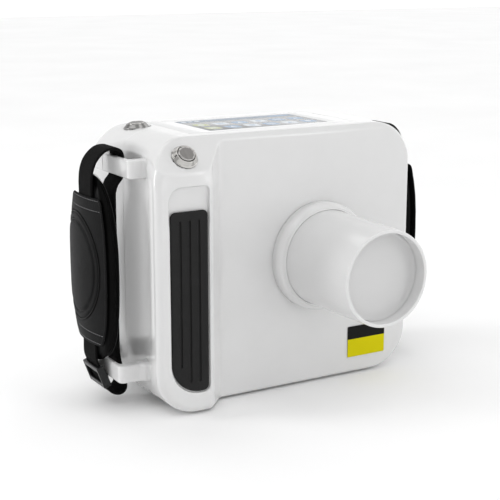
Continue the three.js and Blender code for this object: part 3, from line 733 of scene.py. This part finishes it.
loops = [rect3(OUTR, 0, 0.9, 180.3), rect3(OUTR, 0, 0.9, 181.72), rect3(OUTR, 0.08, 0.9, 181.91), rect3(OUTR, 0.28, 0.9, 181.98),
         rect3(INR, -0.25, 0.8, 181.98), rect3(INR, -0.06, 0.8, 181.92), rect3(INR, 0, 0.8, 181.75), rect3(INR, 0, 0.8, 180.3)]
ob = loft("display_bezel_skin", loops, M["frame"], sharp=30)
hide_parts("display_bezel")
GL = (-46.3, 48.7, 20.5, 73.8)
loops = [rect3(GL, 0, 0.6, 179.2), rect3(GL, 0, 0.6, 181.7), rect3(GL, 0.1, 0.6, 181.84), rect3(GL, 0.25, 0.6, 181.88)]
ob = loft("display_glass_skin", loops, M["screen"], close=False, caps=True, sharp=30)
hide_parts("display_glass")

# picture on the display: a generic grid of round tiles with plain marks, and a bar


def flat_tile(V, F, FM, loop, z0, z1, mat):
    base, n = len(V), len(loop)
    for z in (z0, z1):
        V += [(x, y, z) for x, y in loop]
    for k in range(n):
        j = (k + 1) % n
        F.append((base + k, base + j, base + n + j, base + n + k)); FM.append(mat)
    F.append(tuple(base + k for k in range(n))[::-1]); FM.append(mat)
    F.append(tuple(base + n + k for k in range(n))); FM.append(mat)


V_, F2, FM_ = [], [], []
kinds = [[2, 1, 0, 1, 0, 0], [2, 0, 1, 0, 1, 0]]
for r_ in range(2):
    for c2 in range(6):
        cx, cy = -37.5 + c2 * 15.4, 32.5 + (1 - r_) * 17.5
        flat_tile(V_, F2, FM_, rr_loop(cx - 5.4, cx + 5.4, cy - 5.4, cy + 5.4, 2.6, 5), 181.885, 181.895, kinds[r_][c2])
        m_ = 1 if kinds[r_][c2] != 1 else 0
        if (r_ + c2) % 3 == 0:
            flat_tile(V_, F2, FM_, [(cx + 2.4 * math.cos(a), cy + 2.4 * math.sin(a)) for a in np.linspace(0, 2 * np.pi, 24, endpoint=False)], 181.9, 181.91, m_)
        elif (r_ + c2) % 3 == 1:
            for k in (-1, 1):
                flat_tile(V_, F2, FM_, rr_loop(cx - 2.8, cx + 2.8, cy + k * 1.5 - 0.7, cy + k * 1.5 + 0.7, 0.5, 3), 181.9, 181.91, m_)
        else:
            flat_tile(V_, F2, FM_, [(cx - 2.3, cy - 2.2), (cx + 2.3, cy - 2.2), (cx, cy + 2.5)], 181.9, 181.91, m_)
        flat_tile(V_, F2, FM_, rr_loop(cx - 3.6, cx + 3.6, cy - 7.6, cy - 6.7, 0.4, 3), 181.885, 181.895, 1)
flat_tile(V_, F2, FM_, rr_loop(-46.0, 48.4, 64.6, 73.5, 0.4, 3), 181.885, 181.895, 3)
flat_tile(V_, F2, FM_, rr_loop(28.0, 45.0, 66.6, 71.4, 1.0, 3), 181.9, 181.91, 0)
for k in range(3):
    flat_tile(V_, F2, FM_, rr_loop(-43.0 + 5.2 * k, -39.4 + 5.2 * k, 67.0, 70.8, 0.9, 3), 181.9, 181.91, 1)
ob = make("screen_picture", V_, F2, [M["tile_blue"], M["tile_pale"], M["tile_green"], M["tile_deep"]], smooth=False)
for pl, m_ in zip(ob.data.polygons, FM_):
    pl.material_index = m_

# ------------------------------------------------------------------ generic plate
def split_face(ob, z):
    """divide a plate's mesh at height z; everything above takes the second material"""
    bm = bmesh.new()
    bm.from_mesh(ob.data)
    zz = (z + SHIFT[2]) * 0.001
    bmesh.ops.bisect_plane(bm, geom=bm.verts[:] + bm.edges[:] + bm.faces[:], plane_co=(0, 0, zz), plane_no=(0, 0, 1))
    for f in bm.faces:
        f.material_index = 1 if f.calc_center_median().z > zz else 0
    bm.to_mesh(ob.data)
    bm.free()


loops = [[(x, y, z) for x, z in rr_loop(54.3 + i, 86.8 - i, 12.0 + i, 35.0 - i, 0.9, 5)] for i, y in ((0, -0.3), (0, -0.62), (0.12, -0.75))]
ob = loft("rating_plate_skin", loops, [M["yellow"], M["black"]], close=False, caps=True, sharp=30)
split_face(ob, 25.4)
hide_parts("rating_plate")

# ------------------------------------------------------------------ feet, socket
for i, (x, y) in enumerate(((-66, 14), (66, 14), (-66, 76), (66, 76)), 1):
    prof = round_profile([[0, -1.5], [5.2, -1.5], [7.0, -1.5], [7.0, -0.3], [0, -0.3]], [0, 0, 0.5, 0.2, 0], 5)
    ob = lathe(f"foot_{i}_skin", prof, (x, y, 0), (0, 0, 1), M["foot"], 64, closed=False)
    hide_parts(f"foot_{i}")
prof = round_profile([[3.2, -9], [5.5, -9], [5.5, 0], [6.8, 0], [6.8, 1], [3.8, 1], [3.2, 0.5]], [0.1, 0.2, 0.1, 0.1, 0.3, 0.2, 0.2], 4, True)
ob = lathe("charge_socket_skin", prof, (-58, D - 1.05, 24), (0, 1, 0), M["socket"], 72)
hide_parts("charge_socket")

# ------------------------------------------------------------------------ straps
WEB_PATH = np.array([[-113.5, 141], [-113.0, 146], [-111.4, 150.2], [-108.9, 153.2], [-107.2, 156.4], [-106.8, 161.5], [-106.8, 167.4], [-107.6, 170.8], [-109.4, 172.8],
                     [-112.8, 173.9], [-118.0, 173.3], [-122.6, 170.4], [-126.6, 165.6], [-129, 159.2], [-129.8, 152], [-129.8, 144], [-129.8, 120], [-129.8, 95], [-129.8, 70], [-129.8, 44],
                     [-129.9, 36], [-129.4, 32.2], [-127.0, 25.77], [-124.6, 19.33], [-122.2, 12.9], [-120.2, 9.4], [-117, 7], [-113, 6.2], [-109.8, 7.8], [-108.6, 11.4], [-109.2, 16.6],
                     [-110.8, 23], [-112.4, 29], [-113.4, 36], [-113.5, 44], [-113.5, 78], [-113.5, 112]])


def catmull(P, per=6):
    out = []
    n = len(P)
    for i in range(n):
        p0, p1, p2, p3 = P[i - 1], P[i], P[(i + 1) % n], P[(i + 2) % n]
        for k in range(per):
            t = k / per
            out.append(0.5 * ((2 * p1) + (p2 - p0) * t + (2 * p0 - 5 * p1 + 4 * p2 - p3) * t * t + (3 * p1 - p0 - 3 * p2 + p3) * t ** 3))
    return np.array(out)


def build_webbing(tag, side, yc):
    c = catmull(WEB_PATH, 6)
    d = np.roll(c, -1, 0) - np.roll(c, 1, 0)
    d /= np.linalg.norm(d, axis=1)[:, None]
    n = np.stack([-d[:, 1], d[:, 0]], 1)
    sec = []
    hw, ht = 10.0, 0.86
    prof = round_profile([[-hw, -ht], [hw, -ht], [hw, ht], [-hw, ht]], 0.55, 3, True)
    for i, p in enumerate(prof):                       # finer across the faces
        q = prof[(i + 1) % len(prof)]
        sec.append(p)
        if abs(q[0] - p[0]) > 5:
            for k in range(1, 26):
                sec.append([p[0] + (q[0] - p[0]) * k / 26, p[1]])
    # the edges are bound: a fine groove 1.6 mm in from each edge
    sec = [[w, h - math.copysign(0.17 * math.exp(-((hw - 1.7 - abs(w)) / 0.35) ** 2), h)] for w, h in sec]
    loops = []
    for p, nn in zip(c, n):
        loops.append([(-side * (p[0] + nn[0] * h), yc + w, p[1] + nn[1] * h) for w, h in sec])
    ob = loft(f"strap_webbing_{tag}_skin", loops, M["web"], close=True, sharp=60)
    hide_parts(f"strap_webbing_{tag}")
    return ob


CUFF = np.array([[31.2, 0], [31.5, 5], [32.4, 9], [34.2, 13], [36.8, 16.4], [40.4, 19.4], [45, 22], [50, 23.8], [57, 25.4], [66, 26.6], [80, 27.4], [95, 27.6], [110, 27.3],
                 [123, 25.7], [131, 23.6], [138, 20.8], [144, 17.4], [149, 13.9], [153.3, 10.4], [156.3, 6.8], [157.8, 3.4], [158.2, 0]])
COVER = np.array([[44, 17.5], [45.2, 19.4], [50, 22.6], [57, 25.2], [66, 27.2], [78, 28.3], [94, 28.7], [110, 28.3], [121.5, 27.2], [131, 25.2], [138, 23.2], [142.6, 21.8], [143.5, 20.6]])


def smooth_half(tab, z):
    return np.interp(z, tab[:, 0], tab[:, 1])


def outline(tab, n):
    """closed outline of a half-width table, evenly stepped and smoothed"""
    right = [(h, z) for z, h in tab]
    left = [(-h, z) for z, h in tab[::-1] if h > 0]
    P = np.array(right + left, float)
    seg = np.hypot(*(np.roll(P, -1, 0) - P).T)
    keep = seg > 1e-6
    P = P[keep]
    seg = np.hypot(*(np.roll(P, -1, 0) - P).T)
    L = np.concatenate([[0], np.cumsum(seg)])
    t = np.linspace(0, L[-1], n, endpoint=False)
    Q = np.stack([np.interp(t, L, np.append(P[:, k], P[0, k])) for k in (0, 1)], 1)
    for _ in range(6):
        Q = (np.roll(Q, 1, 0) + 2 * Q + np.roll(Q, -1, 0)) / 4
    return Q


def flap_out(y, z):
    """outer face of the cover: crowned across, most in the middle of its height"""
    w = np.maximum(smooth_half(COVER, z), 1)
    S = np.clip(y / w, -1, 1)
    v = np.clip((z - 44) / 99.5, 0, 1)
    bulge = np.clip(4 * v * (1 - v), 0, 1) ** 0.7
    return -129.75 - (2.35 + 1.9 * bulge) * (1 - S ** 2) - 0.1 * bulge


def flap_relief(y, z, edge):
    zc = OVAL_Z
    q1 = np.sqrt(((y - OVAL_Y) / OVALS[0][0]) ** 2 + ((z - zc) / OVALS[0][1]) ** 2)
    q2 = np.sqrt(((y - OVAL_Y) / OVALS[1][0]) ** 2 + ((z - zc) / OVALS[1][1]) ** 2)
    d1, d2 = (q1 - 1) * 36.0, (q2 - 1) * 31.0
    g = lambda q, w, d: -d * np.exp(-(q / w) ** 2)
    rel = g(d1, 0.7, 0.88) + g(d2, 0.56, 0.72)
    rel = rel + 0.4 * np.clip(-d2 / 3.0, 0, 1) ** 0.5 + 0.45 * np.clip(-d1 / 1.4, 0, 1) ** 0.6
    for zz in ROWS:
        rel = rel + g(z - zz, 0.45, 0.3)
    return rel


ROWS = (142.2, 135.6, 52.4, 45.9)
OVAL_Y, OVAL_Z = 11.0, 94.5
OVALS = ((33.4, 36.6, 0.34), (28.8, 31.2, 0.24))


def build_flap(tag, side, yc):
    """leather cover sewn over the webbing: crowned, with two pressed ovals and stitched ends"""
    n_out, n_in = 420, 46
    Q = outline(COVER, n_out)
    c = np.array([0.0, 94.0])
    rings_o, rings_i = [], []
    ts = np.concatenate([np.linspace(0, 0.06, 7), np.linspace(0.06, 1, n_in)[1:]])
    # distance to the rim, for the rounded edge
    def rim(P):
        d = np.full(len(P), 1e9)
        for i in range(0, len(P), 200):
            d[i:i + 200] = np.hypot(P[i:i + 200, None, 0] - Q[None, :, 0], P[i:i + 200, None, 1] - Q[None, :, 1]).min(1)
        return d
    verts, idx_o, idx_i = [], [], []
    T = 1.5
    for face in (0, 1):
        for t in ts:
            P = c + (Q - c) * (1 - t) if t < 1 else c[None, :]
            e = rim(P)
            k = np.clip(e / 0.75, 0, 1)
            rnd = 0.75 * np.sqrt(1 - (1 - k) ** 2)
            base = flap_out(P[:, 0], P[:, 1])
            if face == 0:
                X = base + 0.55 - rnd * 0.75 - flap_relief(P[:, 0], P[:, 1], e)
            else:
                X = base + 0.55 + rnd * 0.75
                lim = np.where(np.abs(P[:, 0]) < 10.6, -130.78, -128.62)
                X = np.where(e > 0.4, np.maximum(X, lim - 0.5), X)
                X = np.minimum(X, lim)
            r = list(range(len(verts), len(verts) + len(P)))
            (idx_o if face == 0 else idx_i).append(r)
            verts += [(-side * x, yc + y, z) for x, y, z in zip(X, P[:, 0], P[:, 1])]
    faces = []
    for rings in (idx_o, idx_i):
        for a, b in zip(rings, rings[1:]):
            for i in range(n_out):
                j = (i + 1) % n_out
                if len(b) == 1:
                    faces.append((a[i], a[j], b[0]))
                else:
                    faces.append((a[i], a[j], b[j], b[i]))
    for i in range(n_out):                                 # the two faces meet at the rim
        j = (i + 1) % n_out
        faces.append((idx_o[0][j], idx_o[0][i], idx_i[0][i], idx_i[0][j]))
    ob = make(f"strap_flap_{tag}_skin", verts, faces, M["leather"])
    fix_out(ob)
    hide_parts(f"strap_flap_{tag}")

    sv, sf = [], []

    def stitch(a, b, rad):
        a, b = np.array(a, float), np.array(b, float)
        L = np.linalg.norm(b - a)
        d = (b - a) / max(L, 1e-6)
        u_, v_, _ = basis(d)
        m, base = 6, len(sv)
        steps = ((0, 0.45), (0.14, 0.9), (0.5, 1.0), (0.86, 0.9), (1, 0.45))
        for tt, rr in steps:
            c_ = a + (b - a) * tt
            c_ = c_ + np.array([-0.13 * math.sin(math.pi * tt), 0, 0])
            for q in range(m):
                an = 2 * math.pi * q / m
                pt = c_ + rad * rr * (math.cos(an) * u_ + math.sin(an) * v_)
                sv.append((-side * pt[0], yc + pt[1], pt[2]))
        for k in range(4):
            for q in range(m):
                q2 = (q + 1) % m
                sf.append((base + k * m + q, base + k * m + q2, base + (k + 1) * m + q2, base + (k + 1) * m + q))
        sf.append(tuple(base + q for q in range(m))[::-1])
        sf.append(tuple(base + 4 * m + q for q in range(m)))

    def top(y, z, lift):
        return float(flap_out(np.array(y), np.array(z))) + lift
    for zz in ROWS:
        wz = smooth_half(COVER, zz) - 1.6
        q = -wz
        while q + 2.0 < wz:
            stitch((top(q, zz, 0.32), q, zz), (top(q + 2.0, zz, 0.32), q + 2.0, zz), 0.25)
            q += 2.45
    E = outline(COVER, 260)
    tan = np.roll(E, -1, 0) - np.roll(E, 1, 0)
    tan /= np.linalg.norm(tan, axis=1)[:, None]
    inn = np.stack([-tan[:, 1], tan[:, 0]], 1)
    inn *= np.sign(((c - E) * inn).sum(1))[:, None]
    # near-black cord laid in the two pressed ovals, darker than the leather: painted shade of the groove lines
    pv, pf = [], []
    for ra, rb, rad in OVALS:
        m, n = 8, 220
        base = len(pv)
        # each oval starts and ends where it meets the rim
        half_a = 0.0
        while OVAL_Y + ra * math.cos(half_a) > smooth_half(COVER, OVAL_Z + rb * math.sin(half_a)) - 0.9:
            half_a += 0.01
        for i in range(n):
            a = half_a + (2 * math.pi - 2 * half_a) * i / (n - 1)
            y0_, z0_ = OVAL_Y + ra * math.cos(a), OVAL_Z + rb * math.sin(a)
            x0_ = float(flap_out(np.array(y0_), np.array(z0_))) - 0.02
            nn = np.array([0, math.cos(a) / ra, math.sin(a) / rb]); nn /= np.linalg.norm(nn)
            for q in range(m):
                b_ = 2 * math.pi * q / m
                pt = np.array([x0_, y0_, z0_]) + rad * (math.cos(b_) * nn + math.sin(b_) * np.array([-1.0, 0, 0]))
                pv.append((-side * pt[0], yc + pt[1], pt[2]))
        for i in range(n - 1):
            i2 = i + 1
            for q in range(m):
                q2 = (q + 1) % m
                pf.append((base + i * m + q, base + i * m + q2, base + i2 * m + q2, base + i2 * m + q))
        pf.append(tuple(base + q for q in range(m))[::-1])
        pf.append(tuple(base + (n - 1) * m + q for q in range(m)))
    pp = make(f"strap_piping_{tag}", pv, pf, M["piping"])
    fix_out(pp)
    # overcast edge: each stitch crosses the rim
    for i in range(0, len(E), 1):
        p0, p1 = E[i] + inn[i] * 1.1, E[i] - inn[i] * 0.12
        p1 = p1 + tan[i] * 0.35
        stitch((top(p0[0], p0[1], -0.02), p0[0], p0[1]), (top(E[i][0], E[i][1], 0.62), p1[0], p1[1]), 0.24)
    st = make(f"strap_stitches_{tag}", sv, sf, M["thread"])
    nrow = sum(int(2 * (smooth_half(COVER, zz) - 1.6) / 2.45) + 1 for zz in ROWS)
    st.data.materials.append(M["thread_dark"])
    n_edge = len(E) * 26
    tot = len(st.data.polygons)
    for k, pl in enumerate(st.data.polygons):
        if k >= tot - n_edge:
            pl.material_index = 1
    return ob


def build_pad(tag, side, yc):
    """the cuff: a thick soft oval, flat against its cover, bulging to the hand, with a sewn seam at its inner rim"""
    n_out = 300
    Q = outline(CUFF, n_out)
    c = np.array([0.0, 95.5])
    half_h = 63.5

    def seam_x(z):
        """where the side wall ends and the hand side begins"""
        u = np.clip(np.abs(z - 95.0) / half_h, 0, 1)
        return -119.0 - 2.2 * u ** 2 - 3.4 * u ** 12

    def outer_x(z, y):
        u = np.clip((z - 148) / 11, 0, 1)
        return -128.35 + 1.0 * u + 0.0 * y
    verts, rings = [], []
    # profile across the rim: outer face (leather side), rolled wall, seam, inner face
    prof = []
    for t in np.linspace(1, 0.12, 16):
        prof.append(("outer", t, 0))
    for a in np.linspace(0, 1, 26):
        prof.append(("wall", 0, a))
    for t in np.linspace(0.03, 1, 24):
        prof.append(("inner", t, 0))
    mats = []
    for kind, t, a in prof:
        if kind == "outer":
            P = c + (Q - c) * 0.925 * (1 - t) if t < 1 else c[None, :]
            d = Q - c
            if t < 1:
                P = P - d / np.linalg.norm(d, axis=1)[:, None] * 1.5 * (1 - t)
            X = outer_x(P[:, 1], P[:, 0]) + 0 * P[:, 0]
        elif kind == "wall":
            # bulging side wall between the two faces, pinched by the sewn cord at the seam
            xo, xi = outer_x(Q[:, 1], Q[:, 0]), seam_x(Q[:, 1])
            s_ = a
            bul = 1.5 * math.sin(math.pi * min(s_ / 0.86, 1)) ** 0.8
            ins = 0.075 * (1 - min(s_ / 0.42, 1)) ** 1.8
            pinch = -0.9 * math.exp(-((s_ - 0.86) / 0.035) ** 2)
            bead = 0.35 * math.exp(-((s_ - 0.945) / 0.05) ** 2)
            d = Q - c
            ln = np.linalg.norm(d, axis=1)[:, None]
            P = c + d * (1 - ins) + d / ln * (bul + pinch + bead - 1.5)
            X = xo + (xi - xo) * (s_ if s_ > 0 else 0)
        else:
            P = c + (Q - c) * (1 - t) if t < 1 else c[None, :]
            d = Q - c
            if t < 1:
                P = P - d / np.linalg.norm(d, axis=1)[:, None] * 1.5 * (1 - t)
            X = seam_x(P[:, 1]) if t < 1 else np.array([seam_x(95.5)])
            dome = 2.6 * (1 - (1 - t) ** 2.2)
            X = (seam_x(Q[:, 1]) * (1 - t) ** 1.5 + (1 - (1 - t) ** 1.5) * seam_x(95.5) if t < 1 else X) + dome
            # soft quilting of the hand side
            X = X - 0.16 * np.cos((P[:, 1] - 95.5) * 0.42) * np.clip(t * 3, 0, 1)
        rings.append(list(range(len(verts), len(verts) + len(P))))
        verts += [(-side * x, yc + y, z) for x, y, z in zip(X, P[:, 0], P[:, 1])]
    faces, fm = [], []
    for r, (a, b) in enumerate(zip(rings, rings[1:])):
        leather_side = r < 19
        for i in range(n_out):
            j = (i + 1) % n_out
            if len(a) == 1:
                faces.append((a[0], b[j], b[i]))
            elif len(b) == 1:
                faces.append((a[i], a[j], b[0]))
            else:
                faces.append((a[i], a[j], b[j], b[i]))
            fm.append(1 if leather_side else 0)
    me = bpy.data.meshes.new(f"strap_pad_{tag}_skin")
    me.from_pydata(to_frame(verts).tolist(), [], faces)
    me.update()
    me.materials.append(M["lining"]); me.materials.append(M["leather"])
    me.polygons.foreach_set("material_index", fm)
    me.polygons.foreach_set("use_smooth", [True] * len(me.polygons))
    ob = bpy.data.objects.new(me.name, me)
    bpy.context.scene.collection.objects.link(ob)
    fix_out(ob)
    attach(ob, "housing")
    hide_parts(f"strap_pad_{tag}")

    # pale seam thread along the inner rim
    sv, sf = [], []
    d = Q - c
    ln = np.linalg.norm(d, axis=1)[:, None]
    S = outline(CUFF, 560)
    ds = S - c
    lns = np.linalg.norm(ds, axis=1)[:, None]
    S = S + ds / lns * (-1.5 + 0.42)
    X = outer_x(S[:, 1], S[:, 0]) + (seam_x(S[:, 1]) - outer_x(S[:, 1], S[:, 0])) * 0.955
    m = 5
    for i in range(0, len(S), 2):
        a3 = np.array([X[i], *S[i]]); j = (i + 1) % len(S)
        b3 = np.array([X[j], *S[j]])
        dd = (b3 - a3) / np.linalg.norm(b3 - a3)
        a3, b3 = a3 - dd * 0.12, b3 + dd * 0.12
        u_, v_, _ = basis(dd)
        base = len(sv)
        for tt, rr in ((0, 0.5), (0.5, 1.0), (1, 0.5)):
            for q in range(m):
                an = 2 * math.pi * q / m
                pt = a3 + (b3 - a3) * tt + 0.17 * rr * (math.cos(an) * u_ + math.sin(an) * v_)
                sv.append((-side * pt[0], yc + pt[1], pt[2]))
        for k in range(2):
            for q in range(m):
                q2 = (q + 1) % m
                sf.append((base + k * m + q, base + k * m + q2, base + (k + 1) * m + q2, base + (k + 1) * m + q))
        sf.append(tuple(base + q for q in range(m))[::-1])
        sf.append(tuple(base + 2 * m + q for q in range(m)))
    st = make(f"strap_seam_{tag}", sv, sf, M["thread_dim"])
    return ob


def build_buckle(tag, side, yc):
    A, B = np.array([-129.4, 32.2]), np.array([-122.2, 12.9])
    u = (A - B) / np.linalg.norm(A - B)
    n = np.array([-u[1], u[0]])

    def sdf(s, y, h):
        outer = box2(y, s, yc - 12.2, yc + 12.2, 0.4, 16.4, 1.6)
        slab = np.abs(h - 2.15) - 0.95
        plate = rmax(outer, slab, 0.5)
        win = box2(y, s, yc - 10.3, yc + 10.3, 4.0, 12.8, 0.9)
        m = rmax(plate, -win, 0.45)
        for sg in (-1, 1):
            yy = (y - yc) * sg
            rail = rmax(rmax(box2(yy, s, 10.35, 12.2, 0.4, 16.4, 0.8), -(h + 2.3), 0.4), h - 3.1, 0.5)
            m = rmin(m, rail, 0.5)
        bar = rmax(rmax(box2(h, s, -2.7, -1.2, 6.4, 10.4, 0.6), y - (yc + 11.4), 0.3), (yc - 11.4) - y, 0.3)
        return rmin(m, bar, 0.4)
    Sx = axis_points(-0.8, 17.6, 0.5, [])
    Yx = axis_points(yc - 13.4, yc + 13.4, 0.7, [(yc - 11, 1.8, 0.4), (yc + 11, 1.8, 0.4)])
    Hx = axis_points(-3.6, 4.2, 0.35, [])
    P, F, N = surface(sdf, Sx, Yx, Hx, 0.02)
    Q = np.stack([side * -1 * (B[0] + u[0] * P[:, 0] + n[0] * P[:, 2]), P[:, 1], B[1] + u[1] * P[:, 0] + n[1] * P[:, 2]], 1)
    ob = make(f"strap_buckle_{tag}_skin", Q, F, M["buckle"], body=f"buckle_{tag}", sharp=45)
    fix_out(ob)
    ob.data.set_sharp_from_angle(angle=math.radians(50))
    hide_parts(f"strap_buckle_{tag}")


for tag, side, yc in (("left", -1, STRAP_L), ("right", 1, STRAP_R)):
    s_ = -1 if side < 0 else 1
    build_webbing(tag, 1 if side > 0 else -1, yc)
    build_flap(tag, 1 if side > 0 else -1, yc)
    build_pad(tag, 1 if side > 0 else -1, yc)
    build_buckle(tag, 1 if side > 0 else -1, yc)

# ----------------------------------------------------- CAD nodes that stay shown
INNER = {
    "display_module": plastic("module_dark", (0.02, 0.02, 0.022), 0.5),
    "exposure_nut": metal("nut_steel", (0.5, 0.49, 0.47), 0.35), "power_nut": None,
    "cone_liner": metal("lead_sheet", (0.20, 0.21, 0.22), 0.6), "collimator": None,
    "beam_filter": metal("filter_aluminium", (0.62, 0.63, 0.64), 0.4),
    "tube_tank": metal("tank_cast", (0.42, 0.43, 0.44), 0.5), "tank_cover": None,
    "tube_anode": metal("anode_copper", (0.60, 0.30, 0.16), 0.35), "tube_cathode": metal("cathode_nickel", (0.5, 0.5, 0.5), 0.35),
    "hv_transformer": plastic("winding_brown", (0.20, 0.08, 0.03), 0.5), "hv_multiplier": plastic("board_green", (0.02, 0.13, 0.05), 0.45),
    "main_board": None, "sounder": plastic("sounder_black", (0.015, 0.015, 0.015), 0.5),
    "battery_pack": plastic("battery_wrap", (0.03, 0.08, 0.22), 0.35),
    "shell_screw_1": metal("screw_steel", (0.32, 0.32, 0.33), 0.35), "shell_screw_2": None, "shell_screw_3": None, "shell_screw_4": None,
}
glass = Nodes("tube_glass")
glass.link(glass.ramp(glass.noise(200, 3), [(0.3, (0.80, 0.88, 0.90)), (0.7, (0.86, 0.92, 0.93))]), glass.b.inputs["Base Color"])
glass.link(glass.rng(glass.noise(300, 3), 0.02, 0.06), glass.b.inputs["Roughness"])
glass.set(Transmission_Weight=0.9, IOR=1.47)
INNER["xray_tube"] = glass.m
last = None
for node, mat in INNER.items():
    last = mat or last
    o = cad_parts[node]
    o.data.materials.clear()
    o.data.materials.append(last)

# -------------------------------------------------------- floor, light, camera
floor_m = Nodes("studio_floor")
floor_m.link(floor_m.ramp(floor_m.noise(4, 3), [(0.3, (0.90, 0.90, 0.90)), (0.7, (0.93, 0.93, 0.93))]), floor_m.b.inputs["Base Color"])
floor_m.set(Roughness=0.85, Specular_IOR_Level=0.1)
me = bpy.data.meshes.new("studio_floor")
me.from_pydata([(-6, -6, 0), (6, -6, 0), (6, 6, 0), (-6, 6, 0)], [], [(0, 1, 2, 3)])
me.materials.append(floor_m.m)
floor = bpy.data.objects.new("studio_floor", me)
bpy.context.scene.collection.objects.link(floor)

world = bpy.data.worlds.new("studio")
bpy.context.scene.world = world
world.use_nodes = True
wt = world.node_tree
bg = wt.nodes["Background"]
bg.inputs["Strength"].default_value = 1.0


def wmath(op, a, b=None, c=None, clamp=False):
    n = wt.nodes.new("ShaderNodeMath")
    n.operation = op
    n.use_clamp = clamp
    for i, x in enumerate((a, b, c)):
        if x is None:
            continue
        if isinstance(x, (int, float)):
            n.inputs[i].default_value = x
        else:
            wt.links.new(x, n.inputs[i])
    return n.outputs[0]


tc = wt.nodes.new("ShaderNodeTexCoord")
sp = wt.nodes.new("ShaderNodeSeparateXYZ")
wt.links.new(tc.outputs["Generated"], sp.inputs["Vector"])
dx, dy, dz = sp.outputs
low = wmath("SUBTRACT", 1.0, dz)
dome = wmath("ADD", wmath("ADD", wmath("MULTIPLY", wmath("MULTIPLY", dx, low), 0.44), wmath("MULTIPLY", dy, -0.12)), wmath("ADD", wmath("MULTIPLY", dz, 0.30), 0.72))
dome = wmath("MAXIMUM", dome, 0.22)
# two overhead softboxes with a dark gap between them, seen only in glossy parts
band = wmath("SINE", wmath("MULTIPLY", wmath("ADD", dx, wmath("MULTIPLY", dy, 0.35)), 9.0))
band = wmath("MULTIPLY", band, 3.0, clamp=False)
band = wmath("MAXIMUM", wmath("MINIMUM", band, 1.0), -1.0)
high = wmath("MULTIPLY", wmath("SUBTRACT", dz, 0.45), 5.0, clamp=True)
dome = wmath("ADD", dome, wmath("MULTIPLY", wmath("MULTIPLY", band, high), 0.42))
# upright dark flags around the table, between the lamps
turn = wmath("ARCTAN2", dx, dy)
bars = wmath("MULTIPLY", wmath("SUBTRACT", wmath("SINE", wmath("ADD", wmath("MULTIPLY", turn, 9.0), 0.6)), 0.45), 5.0, clamp=True)
lowm = wmath("MULTIPLY", wmath("MULTIPLY", wmath("SUBTRACT", 0.62, dz), 6.0, clamp=True), wmath("MULTIPLY", wmath("SUBTRACT", dz, 0.15), 9.0, clamp=True))
behind = wmath("MULTIPLY", wmath("SUBTRACT", 0.55, dy), 4.0, clamp=True)
bars = wmath("MULTIPLY", wmath("MULTIPLY", bars, lowm), behind)
dome = wmath("MULTIPLY", dome, wmath("SUBTRACT", 1.20, wmath("MULTIPLY", bars, 1.12)))
# pale sweep above the table edge
dome = wmath("ADD", dome, wmath("MULTIPLY", wmath("MULTIPLY", wmath("SUBTRACT", 0.14, dz), 14.0, clamp=True), 0.55))
dome = wmath("MAXIMUM", dome, 0.02)
comb = wt.nodes.new("ShaderNodeCombineColor")
for k in range(3):
    wt.links.new(dome, comb.inputs[k])
wt.links.new(comb.outputs["Color"], bg.inputs["Color"])


def area(name, loc, target, size, power, shape="RECTANGLE", size_y=None):
    l = bpy.data.lights.new(name, "AREA")
    l.shape = shape
    l.size = size
    if size_y:
        l.size_y = size_y
    l.energy = power
    o = bpy.data.objects.new(name, l)
    bpy.context.scene.collection.objects.link(o)
    o.location = loc
    o.rotation_mode = "QUATERNION"
    o.rotation_quaternion = (Vector(target) - Vector(loc)).to_track_quat("-Z", "Y")
    return o


area("strip_right", (0.75, -1.1, 0.55), (0, 0, 0.1), 0.10, 0.9, size_y=0.9)
area("soft_left", (-1.15, 0.50, 0.42), (0, 0, 0.1), 0.36, 5.2, size_y=0.5)

az, el = math.radians(-30.47), math.radians(13.22)
back = Vector((math.sin(az) * math.cos(el), -math.cos(az) * math.cos(el), math.sin(el)))
cam_d = bpy.data.cameras.new("photo_view")
cam_d.sensor_width = 36.0
cam_d.lens = 1219.55 / 500 * 36.0
cam_d.clip_start, cam_d.clip_end = 0.05, 30
cam = bpy.data.objects.new("photo_view", cam_d)
bpy.context.scene.collection.objects.link(cam)
cam.location = Vector((-0.43520, -0.69792, 0.29231))
cam.rotation_mode = "QUATERNION"
cam.rotation_quaternion = (-back).to_track_quat("-Z", "Y")
bpy.context.scene.camera = cam
bpy.context.scene.view_settings.view_transform = "Standard"
